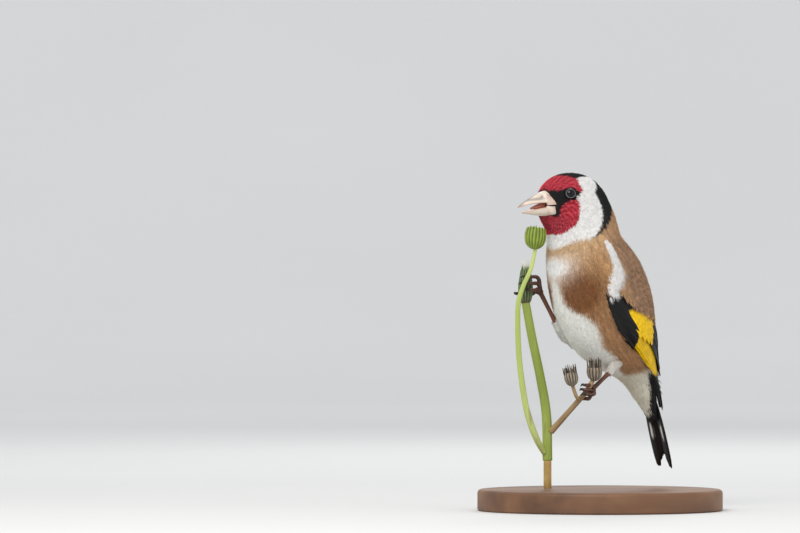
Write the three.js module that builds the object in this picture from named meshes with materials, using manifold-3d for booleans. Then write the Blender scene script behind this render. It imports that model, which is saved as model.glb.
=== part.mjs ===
// A life-size European goldfinch that clings upright to a cut plant stem, on a plain display stand.
// Millimetres. +Z is up, the bird faces -X and its right side is +Y. The origin is the middle of the base's underside.
// Every part of the bird grows from one smooth body surface, which is defined by its outlines seen from the side and
// its half width, so that head, neck, torso, wings and tail stay in their places when a size is changed.

import * as THREE from "three";
import { mergeVertices } from "three/addons/utils/BufferGeometryUtils.js";
import Module from "manifold-3d";

const wasm = await Module();
wasm.setup();

// Driving dimensions
const GAP = 0.3; // space kept between neighbouring pieces
const BASE_RADIUS = 46;
const BASE_HEIGHT = 8;
const ROD_RADIUS = 1.5;
const EYE_RADIUS = 2.6;
const EYE_PLACE = new THREE.Vector3(-19.2, 8.4, 118.8);
const LID_RADIUS = 2.3;
const LID_TUBE = 0.4;
const NOSTRIL_PLACE = new THREE.Vector3(-27.4, 2.6, 117.5);
const NOSTRIL_RADIUS = 0.5;
const TARSUS_RADIUS = 0.85;
const TOE_RADIUS = 0.72;
const CLAW_RADIUS = 0.42;
const BUD_RADIUS = 2.8;
const STALK_RADIUS = 1.0;

// The body's outlines, from the bill's base over the head and down to the tail's root. Each row is a section:
// back line x, z, belly line x, z, half width.
const SECTIONS = [
  [-25.9, 116.6, -25.6, 113.6, 1.2],
  [-25.8, 118.9, -24.9, 110.8, 3.6],
  [-24.9, 121.3, -24.1, 108.9, 5.8],
  [-22.5, 123.8, -23.6, 107.2, 7.9],
  [-18.8, 125.8, -22.9, 105.8, 9.6],
  [-14.0, 126.6, -22.1, 104.5, 10.7],
  [-8.8, 126.0, -21.6, 103.0, 11.3],
  [-4.1, 123.8, -21.4, 101.3, 11.7],
  [-0.5, 120.2, -21.3, 99.2, 12.1],
  [2.1, 115.5, -21.3, 96.8, 12.7],
  [4.4, 110.6, -21.3, 94.0, 13.5],
  [7.2, 105.2, -21.1, 90.4, 14.4],
  [10.7, 99.4, -20.6, 86.0, 15.2],
  [13.9, 92.7, -19.6, 80.6, 15.7],
  [16.1, 85.8, -17.9, 74.6, 15.8],
  [17.5, 79.0, -15.0, 68.6, 15.6],
  [18.5, 72.0, -11.0, 62.6, 14.8],
  [19.3, 65.5, -5.8, 57.4, 13.3],
  [20.2, 59.5, 0.6, 53.6, 11.2],
  [21.2, 54.0, 7.2, 50.8, 9.0],
  [22.4, 48.8, 12.6, 47.4, 7.0],
  [23.8, 43.6, 16.4, 42.8, 5.6],
  [25.2, 38.6, 19.4, 37.4, 4.6],
  [26.6, 33.6, 22.2, 31.8, 3.8],
];
const NECK_START = 8.6; // section numbers at which the body is parted
const TORSO_START = 11;
const TAIL_START = 19.5;
const BODY_END = SECTIONS.length - 1;
const BODY_SIDES = 26;

// The upper and lower halves of the bill, from the root inside the face to the tip: x, upper edge z, lower edge z,
// half width.
const UPPER_BILL = [
  [-22.0, 120.2, 114.9, 4.7],
  [-24.2, 120.0, 115.1, 4.2],
  [-28.0, 118.8, 115.1, 2.9],
  [-32.2, 116.6, 114.6, 1.6],
  [-35.2, 114.8, 113.8, 0.7],
  [-36.8, 113.6, 113.3, 0.15],
];
const LOWER_BILL = [
  [-22.0, 113.9, 110.4, 4.1],
  [-24.2, 113.8, 110.3, 3.6],
  [-28.0, 113.2, 110.4, 2.4],
  [-31.8, 112.4, 110.9, 1.3],
  [-35.0, 111.6, 111.3, 0.15],
];

const SIDES = { left: -1, right: 1 };

// Curves and closed surfaces

// A smooth curve through rows of numbers, at place t counted in rows.
function along(rows, t) {
  const last = rows.length - 1;
  const i = Math.min(Math.max(Math.floor(t), 0), last - 1);
  const f = t - i;
  const at = (k, c) => {
    if (k < 0) return 2 * rows[0][c] - rows[1][c];
    if (k > last) return 2 * rows[last][c] - rows[last - 1][c];
    return rows[k][c];
  };
  return rows[i].map((_, c) => {
    const [a, b, d, e] = [at(i - 1, c), at(i, c), at(i + 1, c), at(i + 2, c)];
    return 0.5 * (2 * b + (d - a) * f + (2 * a - 5 * b + 4 * d - e) * f * f + (3 * b - a - 3 * d + e) * f ** 3);
  });
}

// A closed geometry through rings of points, each ring with as many points, and a fan over each end.
function loft(rings) {
  const sides = rings[0].length;
  const points = rings.flat();
  const index = [];
  for (let r = 0; r < rings.length - 1; r += 1) {
    for (let s = 0; s < sides; s += 1) {
      const [a, b] = [r * sides + s, r * sides + ((s + 1) % sides)];
      index.push(a, b, b + sides, a, b + sides, a + sides);
    }
  }
  for (const [ring, flip] of [[0, true], [rings.length - 1, false]]) {
    const centre = new THREE.Vector3();
    rings[ring].forEach((p) => centre.addScaledVector(p, 1 / sides));
    points.push(centre);
    for (let s = 0; s < sides; s += 1) {
      const [a, b] = [ring * sides + s, ring * sides + ((s + 1) % sides)];
      index.push(...(flip ? [b, a, points.length - 1] : [a, b, points.length - 1]));
    }
  }
  return new THREE.BufferGeometry().setFromPoints(points).setIndex(index);
}

// A closed thin blade through rings of four points, split into triangles alike on both faces.
function blade(rings) {
  const index = [];
  for (let r = 0; r < rings.length - 1; r += 1) {
    for (let s = 0; s < 4; s += 1) {
      const [a, b] = [4 * r + s, 4 * r + ((s + 1) % 4)];
      index.push(...(s === 2 ? [a, b, a + 4, b, b + 4, a + 4] : [a, b, b + 4, a, b + 4, a + 4]));
    }
  }
  const last = 4 * (rings.length - 1);
  index.push(1, 0, 3, 1, 3, 2, last, last + 1, last + 3, last + 1, last + 2, last + 3);
  return new THREE.BufferGeometry().setFromPoints(rings.flat()).setIndex(index);
}

// The solid inside a closed geometry, with its faces turned outwards.
function solid(geometry) {
  const bare = geometry.clone();
  bare.deleteAttribute("normal");
  bare.deleteAttribute("uv");
  const merged = mergeVertices(bare, 1e-4);
  const vertProperties = merged.attributes.position.array;
  const triVerts = new Uint32Array(merged.index.array);
  const corner = (k) => new THREE.Vector3().fromArray(vertProperties, 3 * triVerts[k]);
  let volume = 0;
  for (let i = 0; i < triVerts.length; i += 3) {
    volume += corner(i).dot(corner(i + 1).cross(corner(i + 2)));
  }
  if (volume < 0) {
    for (let i = 0; i < triVerts.length; i += 3) {
      [triVerts[i + 1], triVerts[i + 2]] = [triVerts[i + 2], triVerts[i + 1]];
    }
  }
  return new wasm.Manifold(new wasm.Mesh({ numProp: 3, vertProperties, triVerts }));
}

function join(pieces) {
  return pieces.reduce((whole, piece) => whole.add(piece));
}

// A named mesh of the largest closed surface in a solid.
function piece(name, whole, colour, roughness, metalness = 0) {
  const largest = whole.decompose().reduce((a, b) => (b.volume() > a.volume() ? b : a));
  const { vertProperties, triVerts } = largest.getMesh();
  const geometry = new THREE.BufferGeometry()
    .setAttribute("position", new THREE.BufferAttribute(new Float32Array(vertProperties), 3))
    .setIndex(new THREE.BufferAttribute(new Uint32Array(triVerts), 1));
  geometry.computeVertexNormals();
  const mesh = new THREE.Mesh(geometry, new THREE.MeshStandardMaterial({ color: colour, roughness, metalness }));
  mesh.name = name;
  return mesh;
}

function ball(place, radius, sides = 16, rows = 10) {
  return solid(new THREE.SphereGeometry(radius, sides, rows).translate(place.x, place.y, place.z));
}

// A round bar along a smooth line through points, with a radius at each point.
function bar(points, radii, { sides = 8, steps = 8, grow = 0 } = {}) {
  const line = new THREE.CatmullRomCurve3(points, false, "centripetal");
  const rows = radii.map((r) => [r]);
  const frames = line.computeFrenetFrames(steps, false);
  const rings = [];
  for (let k = 0; k <= steps; k += 1) {
    const centre = line.getPointAt(k / steps);
    const share = line.getUtoTmapping(k / steps, 0) * (radii.length - 1);
    const radius = along(rows, share)[0] + grow;
    const ring = [];
    for (let s = 0; s < sides; s += 1) {
      const angle = (2 * Math.PI * s) / sides;
      ring.push(
        centre
          .clone()
          .addScaledVector(frames.normals[k], radius * Math.cos(angle))
          .addScaledVector(frames.binormals[k], radius * Math.sin(angle)),
      );
    }
    rings.push(ring);
  }
  return solid(loft(rings));
}

// The body's surface

// A point on the body at section t and angle phi from the back line, on either side, raised by lift.
function bodyPoint(t, phi, side = 1, lift = 0) {
  const flat = (u, angle) => {
    const [dx, dz, vx, vz, w] = along(SECTIONS, u);
    const c = Math.cos(angle);
    return new THREE.Vector3(
      (dx + vx + (dx - vx) * c) / 2,
      side * w * Math.sin(angle),
      (dz + vz + (dz - vz) * c) / 2,
    );
  };
  const here = flat(t, phi);
  if (lift === 0) return here;
  const step = 0.02;
  const forward = flat(t + step, phi).sub(flat(t - step, phi));
  const around = flat(t, phi + step).sub(flat(t, phi - step));
  const normal = forward.cross(around).normalize().multiplyScalar(side);
  return here.addScaledVector(normal, lift);
}

// The closed body between two sections. Lift makes it larger all round.
function bodyLength(from, to, steps, lift = 0) {
  const rings = [];
  for (let k = 0; k <= steps; k += 1) {
    const t = from + ((to - from) * k) / steps;
    const ring = [];
    for (let s = 0; s < BODY_SIDES; s += 1) {
      ring.push(bodyPoint(t, (2 * Math.PI * s) / BODY_SIDES, 1, lift));
    }
    rings.push(ring);
  }
  return solid(loft(rings));
}

// How far along the sections a gap of GAP reaches, at section t.
function gapAt(t) {
  const step = 0.1;
  const middle = (u) => bodyPoint(u, 0).add(bodyPoint(u, Math.PI)).multiplyScalar(0.5);
  return (GAP * step) / middle(t + step).distanceTo(middle(t));
}

// Head, eyes and bill

function billHalf(rows, isUpper, grow = 0) {
  const steps = 9;
  const sides = 12;
  const rings = [];
  for (let k = 0; k <= steps; k += 1) {
    const [x, top, bottom, halfWidth] = along(rows, ((rows.length - 1) * k) / steps);
    const [flatEdge, roundEdge] = isUpper ? [bottom - grow, top + grow] : [top + grow, bottom - grow];
    const ring = [];
    for (let s = 0; s < sides; s += 1) {
      const angle = (Math.PI * s) / (sides - 1);
      ring.push(
        new THREE.Vector3(
          x + (k === 0 ? grow : 0),
          (halfWidth + grow) * Math.cos(angle),
          flatEdge + (roundEdge - flatEdge) * Math.abs(Math.sin(angle)) ** 0.8,
        ),
      );
    }
    rings.push(ring);
  }
  return solid(loft(rings));
}

function mirrored(place, side) {
  return new THREE.Vector3(place.x, side * place.y, place.z);
}

function head() {
  let whole = bodyLength(0, NECK_START, 14);
  for (const side of Object.values(SIDES)) {
    const lid = new THREE.TorusGeometry(LID_RADIUS, LID_TUBE, 5, 16);
    const out = bodyPoint(4.4, 1.3, side, 1).sub(bodyPoint(4.4, 1.3, side, 0)).normalize();
    lid.applyQuaternion(new THREE.Quaternion().setFromUnitVectors(new THREE.Vector3(0, 0, 1), out));
    const centre = mirrored(EYE_PLACE, side).addScaledVector(out, 1.25);
    lid.translate(centre.x, centre.y, centre.z);
    whole = whole.add(solid(lid)).subtract(ball(mirrored(EYE_PLACE, side), EYE_RADIUS + GAP));
  }
  return whole.subtract(billHalf(UPPER_BILL, true, GAP)).subtract(billHalf(LOWER_BILL, false, GAP));
}

function upperBill() {
  const nostrils = Object.values(SIDES).map((side) => ball(mirrored(NOSTRIL_PLACE, side), NOSTRIL_RADIUS, 8, 6));
  return nostrils.reduce((whole, hole) => whole.subtract(hole), billHalf(UPPER_BILL, true));
}

// Wings and tail

// The folded wing lies on the body's surface, from section WING_FROM at the wrist to WING_TO at the tip. Its
// feathers lie on a smooth core, and each is placed by section number, by its distance in mm from the wing's lower
// edge, and by its depth under the wing's outside.
const WING_FROM = 9.6;
const WING_TO = 22.4;
const WING_LIFT = 0.52;
const WING_THICK = 1.8;
const WING_TIP_RAISE = 1.3;
const VANE_THICK = 0.55;
// Rows along the wing: angle of the lower edge and of the upper edge from the back line, in degrees.
const WING_EDGES = [
  [84, 74],
  [103, 45],
  [105, 29],
  [105, 21],
  [103, 16],
  [100, 12],
  [91, 11],
  [83, 13],
  [77, 16],
  [73, 19],
  [42, 26],
];
const COVERED_TO = 14; // up to this section small feathers cover the wing

const wingShare = (t) => THREE.MathUtils.clamp((t - WING_FROM) / (WING_TO - WING_FROM), 0, 1);
const smooth = (x, low, high) => THREE.MathUtils.smoothstep(x, low, high);

// How far the wing's outside stands off the body at section t and angle in degrees.
function wingHeight(t, angle) {
  const a = wingShare(t);
  const [lower, upper] = along(WING_EDGES, a * (WING_EDGES.length - 1));
  const rim = 0.35 + 0.65 * smooth(angle, upper, upper + 8) * (1 - smooth(angle, lower - 8, lower));
  const raise = WING_TIP_RAISE * smooth(a, 0.65, 1);
  return WING_LIFT + 0.3 + raise + WING_THICK * rim * Math.sin(Math.PI * (0.1 + 0.85 * a));
}

function wingPoint(t, angle, lift, side) {
  return bodyPoint(t, THREE.MathUtils.degToRad(angle), side, lift);
}

function wingCore(side) {
  const steps = 16;
  const across = 7;
  const rings = [];
  for (let k = 0; k <= steps; k += 1) {
    const a = 0.97 * (k / steps);
    const t = WING_FROM + (WING_TO - WING_FROM) * a;
    const [lower, upper] = along(WING_EDGES, a * (WING_EDGES.length - 1));
    const raise = WING_TIP_RAISE * smooth(a, 0.65, 1);
    const sunk = 0.6 * smooth(t, COVERED_TO - 0.8, COVERED_TO + 0.5);
    const ring = [];
    const angleAt = (s) => lower + (upper - lower) * (0.03 + 0.94 * (s / across));
    for (let s = 0; s <= across; s += 1) ring.push(wingPoint(t, angleAt(s), WING_LIFT + raise, side));
    for (let s = across; s >= 0; s -= 1) {
      const height = Math.max(wingHeight(t, angleAt(s)) - sunk, WING_LIFT + raise + 0.25);
      ring.push(wingPoint(t, angleAt(s), height, side));
    }
    rings.push(ring);
  }
  return solid(loft(rings));
}

// A wing feather from section from to section to. Its outer edge runs offset mm above the wing's lower edge and ends
// at tipAngle. Depth is how far its top lies under the wing's outside, at its root and its tip.
function wingFeather({ from, to, offset, tipAngle, width, depth, tipShare = 0.2 }, side) {
  const bends = Math.ceil((to - from) / 1.2);
  const shares = Array.from({ length: bends }, (_, k) => ((1 - tipShare) * k) / (bends - 1));
  shares.push(1 - tipShare * 0.4, 1);
  const shaft = 0.3;
  return solid(
    blade(
      shares.map((share) => {
        const t = from + (to - from) * share;
        const [lower, upper] = along(WING_EDGES, wingShare(t) * (WING_EDGES.length - 1));
        const radius = flatRadius(t);
        const beside = lower - THREE.MathUtils.radToDeg(offset / radius);
        const edge = beside + (tipAngle - beside) * smooth(share, 0.55, 1.15);
        const past = Math.max(0, (share - 1 + tipShare) / tipShare);
        const full = Math.sqrt(Math.max(1 - past * past, 0.015));
        const near = shaft * width * (1 - full);
        const far = width * (shaft + (1 - shaft) * full);
        const inwards = (mm) => Math.max(edge - THREE.MathUtils.radToDeg(mm / radius), upper + 1);
        const [outer, inner] = [inwards(near) + 0.5, inwards(far)];
        const sunk = depth[0] + (depth[1] - depth[0]) * share;
        const rise = (angle, extra) => {
          const top = Math.max(wingHeight(t, angle) - sunk - extra, WING_LIFT + VANE_THICK + 0.05);
          return [top, top - VANE_THICK];
        };
        const [outerTop, outerLow] = rise(outer, 0);
        const [innerTop, innerLow] = rise(inner, 0.2);
        return [
          wingPoint(t, outer, outerTop, side),
          wingPoint(t, inner, innerTop, side),
          wingPoint(t, inner, innerLow, side),
          wingPoint(t, outer, outerLow, side),
        ];
      }),
    ),
  );
}

// Mean distance from the body's axis at section t, which turns mm round the body into an angle.
function flatRadius(t) {
  const [dx, dz, vx, vz, w] = along(SECTIONS, t);
  return (w + Math.hypot(dx - vx, dz - vz) / 2) / 2;
}

const PRIMARY_TIPS = [21.7, 22.2, 22.3, 21.8, 21.1, 20.4];
const SECONDARY_TIPS = [19.7, 19.5, 19.2];
const TERTIAL_TIPS = [19.4, 18.7, 17.9];
const GREATER_COVERTS = 6;
const PRIMARY_COVERTS = 3;

function wingFeathers() {
  const feathers = PRIMARY_TIPS.map((to, k) => ({
    from: 13.6, to, offset: 0.2 + 1.4 * k, tipAngle: 46 - 2.4 * k, width: 3.4, depth: [1.2, 0.9 - 0.1 * k],
    tipShare: 0.14,
  }));
  SECONDARY_TIPS.forEach((to, k) => {
    feathers.push({ from: 14.4, to, offset: 7.2 + 1.1 * k, tipAngle: 38 - 3 * k, width: 3.2, depth: [1, 0.35 - 0.08 * k] });
  });
  TERTIAL_TIPS.forEach((to, k) => {
    const [offset, tipAngle] = [10 + 1.6 * k, 34 - 6 * k];
    feathers.push({ from: 14.4, to, offset, tipAngle, width: 4, depth: [0.9, 0.2 - 0.1 * k], tipShare: 0.25 });
  });
  for (let k = 0; k < PRIMARY_COVERTS; k += 1) {
    const to = 16.9 - 0.35 * k;
    feathers.push({ from: 13.4, to, offset: 0.1 + 1.2 * k, tipAngle: 97 - 6 * k, width: 2.6, depth: [0.9, 0.4] });
  }
  for (let k = 0; k < GREATER_COVERTS; k += 1) {
    const [to, offset, tipAngle] = [16.6 + 0.14 * k, 3.6 + 1.8 * k, 88 - 9 * k];
    feathers.push({ from: 13.8, to, offset, tipAngle, width: 3.2, depth: [0.9, 0.2 - 0.04 * k], tipShare: 0.24 });
  }
  return feathers;
}

function wing(side) {
  return join([wingCore(side), ...wingFeathers().map((feather) => wingFeather(feather, side))]);
}

// The tail's feathers lie in a plane that holds the tail's own direction. The middle pair is nearest the back.
const TAIL_ROOT = new THREE.Vector3(22.4, 0, 44);
const TAIL_DIRECTION = new THREE.Vector3(0.275, 0.03, -0.961).normalize();
const TAIL_ACROSS = new THREE.Vector3(0, 1, 0.1).normalize();
const TAIL_NORMAL = TAIL_ACROSS.clone().cross(TAIL_DIRECTION).normalize();
const TAIL_LENGTHS = [29, 29.4, 28.2, 27, 25.9, 25];
const TAIL_SPREAD = [4.6, 4.3, 3.7, 3.0, 2.3, 1.7]; // place of each shaft at the tip, outermost first
const TAIL_LAYER = 0.25;

function tailPoint(length, across, lift) {
  return TAIL_ROOT.clone()
    .addScaledVector(TAIL_DIRECTION, length)
    .addScaledVector(TAIL_ACROSS, across)
    .addScaledVector(TAIL_NORMAL, lift);
}

// The place across the tail of feather k's outer edge at a share of its length.
function tailEdge(k, share) {
  const middle = 1.2 * Math.sin(Math.PI * share) * (1 - k / 6);
  return 1.6 + 0.35 * (5 - k) + (TAIL_SPREAD[k] + 0.9 - 1.6 - 0.35 * (5 - k)) * share + middle;
}

function tailFeather(k, side) {
  const shares = [0, 0.45, 0.84, 0.95, 1];
  const start = -4;
  return solid(
    blade(
      shares.map((share) => {
        const length = start + (TAIL_LENGTHS[k] - start) * share;
        const past = Math.max(0, (share - 0.84) / 0.16);
        const full = Math.sqrt(Math.max(1 - past * past, 0.015));
        const edge = tailEdge(k, share);
        const outer = edge - 0.9 * (1 - full);
        const inner = edge - 0.9 - 2.7 * full;
        const top = 0.7 - TAIL_LAYER * k;
        return [
          tailPoint(length, side * outer, top),
          tailPoint(length, side * inner, top - 0.05),
          tailPoint(length, side * inner, top - 0.05 - VANE_THICK),
          tailPoint(length, side * outer, top - VANE_THICK),
        ];
      }),
    ),
  );
}

function tail() {
  const feathers = Object.values(SIDES).flatMap((side) => TAIL_LENGTHS.map((_, k) => tailFeather(k, side)));
  const root = bodyLength(TAIL_START + gapAt(TAIL_START), BODY_END, 8);
  return join([root, ...feathers]);
}

// Legs, feet and what they hold

const LEGS = {
  right: {
    thigh: [new THREE.Vector3(-6, 7.6, 62.5), new THREE.Vector3(-11.5, 7.3, 66.4), new THREE.Vector3(-15.2, 7.1, 70.3)],
    ankle: new THREE.Vector3(-14.5, 7.1, 69.3),
    sole: new THREE.Vector3(-22.3, 6.5, 81.4),
    grip: new THREE.Vector3(-29.2, 6.3, 83.6),
    gripRadius: BUD_RADIUS,
  },
  left: {
    thigh: [new THREE.Vector3(6.4, -6.9, 60), new THREE.Vector3(2.8, -7.6, 56), new THREE.Vector3(-1.2, -8.4, 52)],
    ankle: new THREE.Vector3(0.6, -8.1, 53.3),
    sole: new THREE.Vector3(-9.2, -9, 45.9),
    grip: new THREE.Vector3(-12.9, -9.4, 44.4),
    gripRadius: STALK_RADIUS,
  },
};

function tarsus({ ankle, sole }, grow = 0) {
  return bar([ankle, ankle.clone().lerp(sole, 0.5), sole], [TARSUS_RADIUS * 1.15, TARSUS_RADIUS * 0.9, TARSUS_RADIUS], {
    sides: 10,
    steps: 6,
    grow,
  });
}

function thigh(leg) {
  return bar(leg.thigh, [3.4, 2.9, 1.5], { sides: 12, steps: 6 })
    .subtract(bodyLength(TORSO_START, TAIL_START, 16, GAP))
    .subtract(tarsus(leg, GAP));
}

// A toe leaves the sole and bends round the grip at height rise, from angle start to angle end, then ends in a claw.
function toe({ sole, grip, gripRadius }, { rise, start, end, claw, turn, base = 0 }) {
  const reach = gripRadius + TOE_RADIUS + GAP + 0.1;
  const round = (angle, radius, up) =>
    new THREE.Vector3(
      grip.x + radius * Math.cos(angle),
      grip.y + turn * radius * Math.sin(angle),
      grip.z + up,
    );
  const points = [sole.clone(), round(start, reach + 1.2, rise * 0.7 + base)];
  const bends = 4;
  for (let k = 0; k <= bends; k += 1) {
    points.push(round(start + ((end - start) * k) / bends, reach, rise));
  }
  const radii = points.map((_, k) => TOE_RADIUS * (1 - 0.035 * k));
  const tip = [
    round(end - 0.06, reach, rise),
    round(end + claw * 0.5, reach + 0.15, rise + 0.2),
    round(end + claw, reach + 0.1, rise - 0.5),
  ];
  return [
    bar(points, radii, { sides: 6, steps: 9 }),
    bar(tip, [CLAW_RADIUS * 1.2, CLAW_RADIUS, 0.1], { sides: 5, steps: 3 }),
  ];
}

function foot(leg, toes) {
  const pads = toes.flatMap((shape) => toe(leg, shape));
  const heel = ball(leg.sole.clone().addScaledVector(leg.sole.clone().sub(leg.ankle).normalize(), 0.9), 1.25, 10, 7);
  return join([heel, ...pads]).subtract(tarsus(leg, GAP)).subtract(perchStalk(GAP));
}

const TOES = {
  right: [
    { rise: 4.1, start: 0.35, end: 1.9, claw: 0.85, turn: -1 },
    { rise: 1.6, start: 0.3, end: 2.2, claw: 0.75, turn: -1 },
    { rise: -0.9, start: 0.25, end: 1.8, claw: 0.8, turn: -1 },
    { rise: -2.2, start: 0.2, end: 2.1, claw: 0.7, turn: 1 },
  ],
  left: [
    { rise: 2.9, start: 0.5, end: 2.2, claw: 0.9, turn: -1 },
    { rise: 1.2, start: 0.4, end: 2.5, claw: 0.9, turn: -1 },
    { rise: -0.5, start: 0.5, end: 2.1, claw: 0.9, turn: -1 },
    { rise: -2.2, start: 0.4, end: 1.9, claw: 0.9, turn: 1 },
  ],
};

// The perch: a cut stem, the closed flower head that the right foot holds, and a side stalk for the left foot.
const STEM_LINE = [
  [-19.6, 6, 19.5],
  [-20.1, 6, 36],
  [-22.8, 6, 50],
  [-26.3, 6, 64],
  [-29.1, 6.2, 76.6],
];
const TWIG_LINE = [
  [-22.4, 5.3, 22.6],
  [-25.6, 4, 26.8],
  [-29.0, 3.2, 33],
  [-32.1, 2.4, 41.5],
  [-35.3, 1.4, 58],
  [-36.2, 0.8, 75.6],
  [-34.2, 0.6, 83.6],
  [-30.6, 0.6, 90.5],
  [-28.6, 0.6, 97.6],
];
const STALK_LINE = [
  [-18.5, 3.7, 30.6],
  [-16.4, -2.5, 36.6],
  [-12.9, -9.4, 44.4],
  [-11.4, -11.6, 48.2],
];
const SIDE_STALK_LINE = [
  [-14.9, -8.4, 41.6],
  [-17.6, -10.4, 43.2],
  [-19.6, -11.2, 46.4],
];
const SEED_HEADS = {
  perch_seed_head_upper: { place: [-10.9, -12.6, 52.4], size: 1, lean: [0.1, -0.1] },
  perch_seed_head_side: { place: [-20.4, -11.3, 50.1], size: 0.9, lean: [-0.3, 0] },
};

const vectors = (rows) => rows.map((row) => new THREE.Vector3(...row));

function perchStem(grow = 0) {
  return bar(vectors(STEM_LINE), [1.9, 1.85, 1.75, 1.7, 1.6], { sides: 10, steps: 14, grow });
}

function perchTwig() {
  return bar(vectors(TWIG_LINE), [0.9, 1.25, 1.3, 1.2, 1.1, 1, 0.9, 0.8, 0.7], { sides: 7, steps: 18 });
}

function perchStalk(grow = 0) {
  return bar(vectors(STALK_LINE), [1.25, 1.05, STALK_RADIUS, 0.9], { sides: 8, steps: 9, grow });
}

function sideStalk() {
  return bar(vectors(SIDE_STALK_LINE), [0.6, 0.7, 0.7], { sides: 7, steps: 8 }).subtract(perchStalk(GAP));
}

function turned(profile, sides) {
  return new THREE.LatheGeometry(profile.map(([r, z]) => new THREE.Vector2(r, z)), sides).rotateX(Math.PI / 2);
}

// The closed flower head that the right foot grips.
function perchBud() {
  const profile = [[0, -6.2], [1.2, -6], [2.2, -4.6], [2.75, -2], [2.75, 1], [2.3, 4], [1.9, 6.4], [1.5, 7], [0, 6.6]];
  const { grip } = LEGS.right;
  return solid(turned(profile, 18).translate(grip.x, grip.y, grip.z));
}

// The round green bud at the end of the thin twig.
function roundBud() {
  const profile = [[0, -4], [1.6, -3.8], [3.4, -2.2], [4.1, 0.3], [3.9, 2.6], [3.3, 3.9], [0, 3.2]];
  const { x, y, z } = vectors(TWIG_LINE).pop();
  return solid(turned(profile, 20).rotateY(0.12).translate(x, y, z + 4.35));
}

// A dried seed head: a ribbed cup with a tuft of stiff bristles fused on it.
function seedHead({ place, size, lean }) {
  const profile = [[0, -3.6], [0.9, -3.5], [2.4, -2.2], [3, 0], [2.6, 1.6], [0, 1.4]];
  const cup = turned(profile.map(([r, z]) => [r * size, z * size]), 12);
  const bristles = 7;
  const pieces = [solid(cup)];
  for (let k = 0; k < bristles; k += 1) {
    const turn = (2 * Math.PI * k) / bristles;
    const out = (far, high) => new THREE.Vector3(far * Math.cos(turn) * size, far * Math.sin(turn) * size, high * size);
    const high = 4.6 + 0.9 * Math.sin(5 * turn);
    pieces.push(bar([out(1.9, -0.4), out(2.4, 2), out(2.9, high)], [0.5, 0.42, 0.2], { sides: 4, steps: 2 }));
  }
  const [tiltX, tiltY] = lean;
  return join(pieces).rotate([tiltX * 57, tiltY * 57, 0]).translate(place);
}

// Display stand

function standBase() {
  const profile = [
    [0, 0],
    [BASE_RADIUS, 0],
    [BASE_RADIUS, BASE_HEIGHT - 1.5],
    [BASE_RADIUS - 1.5, BASE_HEIGHT],
    [0, BASE_HEIGHT],
  ];
  return solid(turned(profile, 44));
}

function standRod() {
  const [x, y, top] = STEM_LINE[0];
  const [low, high] = [BASE_HEIGHT + GAP, top - 2 * GAP];
  const rod = new THREE.CylinderGeometry(ROD_RADIUS, ROD_RADIUS, high - low, 14).rotateX(Math.PI / 2);
  return solid(rod.translate(x, y, (low + high) / 2));
}

// The whole object

const goldfinch = new THREE.Group();
goldfinch.add(
  piece("head", head(), 0xb02030, 0.8),
  piece("neck", bodyLength(NECK_START + gapAt(NECK_START), TORSO_START - gapAt(TORSO_START), 5), 0xe8e2d8, 0.8),
  piece("torso", bodyLength(TORSO_START, TAIL_START, 18), 0xa87c50, 0.85),
  piece("tail", tail(), 0x14120f, 0.6),
  piece("bill_upper", upperBill(), 0xe6d8c6, 0.4),
  piece("bill_lower", billHalf(LOWER_BILL, false), 0xe6d8c6, 0.4),
);
for (const [name, side] of Object.entries(SIDES)) {
  const leg = LEGS[name];
  goldfinch.add(
    piece(`eye_${name}`, ball(mirrored(EYE_PLACE, side), EYE_RADIUS), 0x140d0a, 0.08),
    piece(`wing_${name}`, wing(side), 0x16130f, 0.6),
    piece(`thigh_${name}`, thigh(leg), 0xe2ddd2, 0.85),
    piece(`tarsus_${name}`, tarsus(leg), 0x6b3d2a, 0.5),
    piece(`foot_${name}`, foot(leg, TOES[name]), 0x4a3028, 0.5),
  );
}
goldfinch.add(
  piece("perch_stem", perchStem(), 0x7f9440, 0.6),
  piece("perch_twig", perchTwig(), 0xa6b85a, 0.6),
  piece("perch_round_bud", roundBud(), 0x8fae2c, 0.6),
  piece("perch_bud", perchBud(), 0x5f7a3a, 0.6),
  piece("perch_stalk", perchStalk(), 0x9a7a58, 0.7),
  piece("perch_side_stalk", sideStalk(), 0x9a7a58, 0.7),
  ...Object.entries(SEED_HEADS).map(([name, shape]) => piece(name, seedHead(shape), 0x7a6a5c, 0.8)),
  piece("stand_base", standBase(), 0x5a4030, 0.5),
  piece("stand_rod", standRod(), 0xb08d57, 0.3, 1),
);

export default goldfinch;
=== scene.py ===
"""A life-size European goldfinch clinging upright to a cut stem, on a plain display stand.

Sizes are in millimetres here and become metres when a mesh is made. The bird faces -X, and its right side is
+Y. A place on the body is a section number t, counted from the bill's base to the tail's root, and an angle
phi from the line of the back, in radians, negative on the bird's left.
"""

import math

import bpy
import numpy as np
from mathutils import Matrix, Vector


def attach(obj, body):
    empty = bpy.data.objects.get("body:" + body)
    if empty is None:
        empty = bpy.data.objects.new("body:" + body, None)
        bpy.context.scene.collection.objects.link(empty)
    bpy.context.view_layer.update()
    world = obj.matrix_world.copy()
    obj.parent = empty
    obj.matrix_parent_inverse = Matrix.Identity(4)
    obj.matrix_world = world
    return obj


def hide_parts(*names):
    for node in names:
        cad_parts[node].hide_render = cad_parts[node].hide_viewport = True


MM = 0.001
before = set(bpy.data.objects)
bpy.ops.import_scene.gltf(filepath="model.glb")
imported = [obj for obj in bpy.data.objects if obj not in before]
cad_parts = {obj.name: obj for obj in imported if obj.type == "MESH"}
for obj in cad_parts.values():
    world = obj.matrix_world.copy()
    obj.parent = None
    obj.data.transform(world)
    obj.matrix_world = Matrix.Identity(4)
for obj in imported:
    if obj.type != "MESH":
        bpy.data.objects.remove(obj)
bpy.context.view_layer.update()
rng = np.random.default_rng(7)
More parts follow.
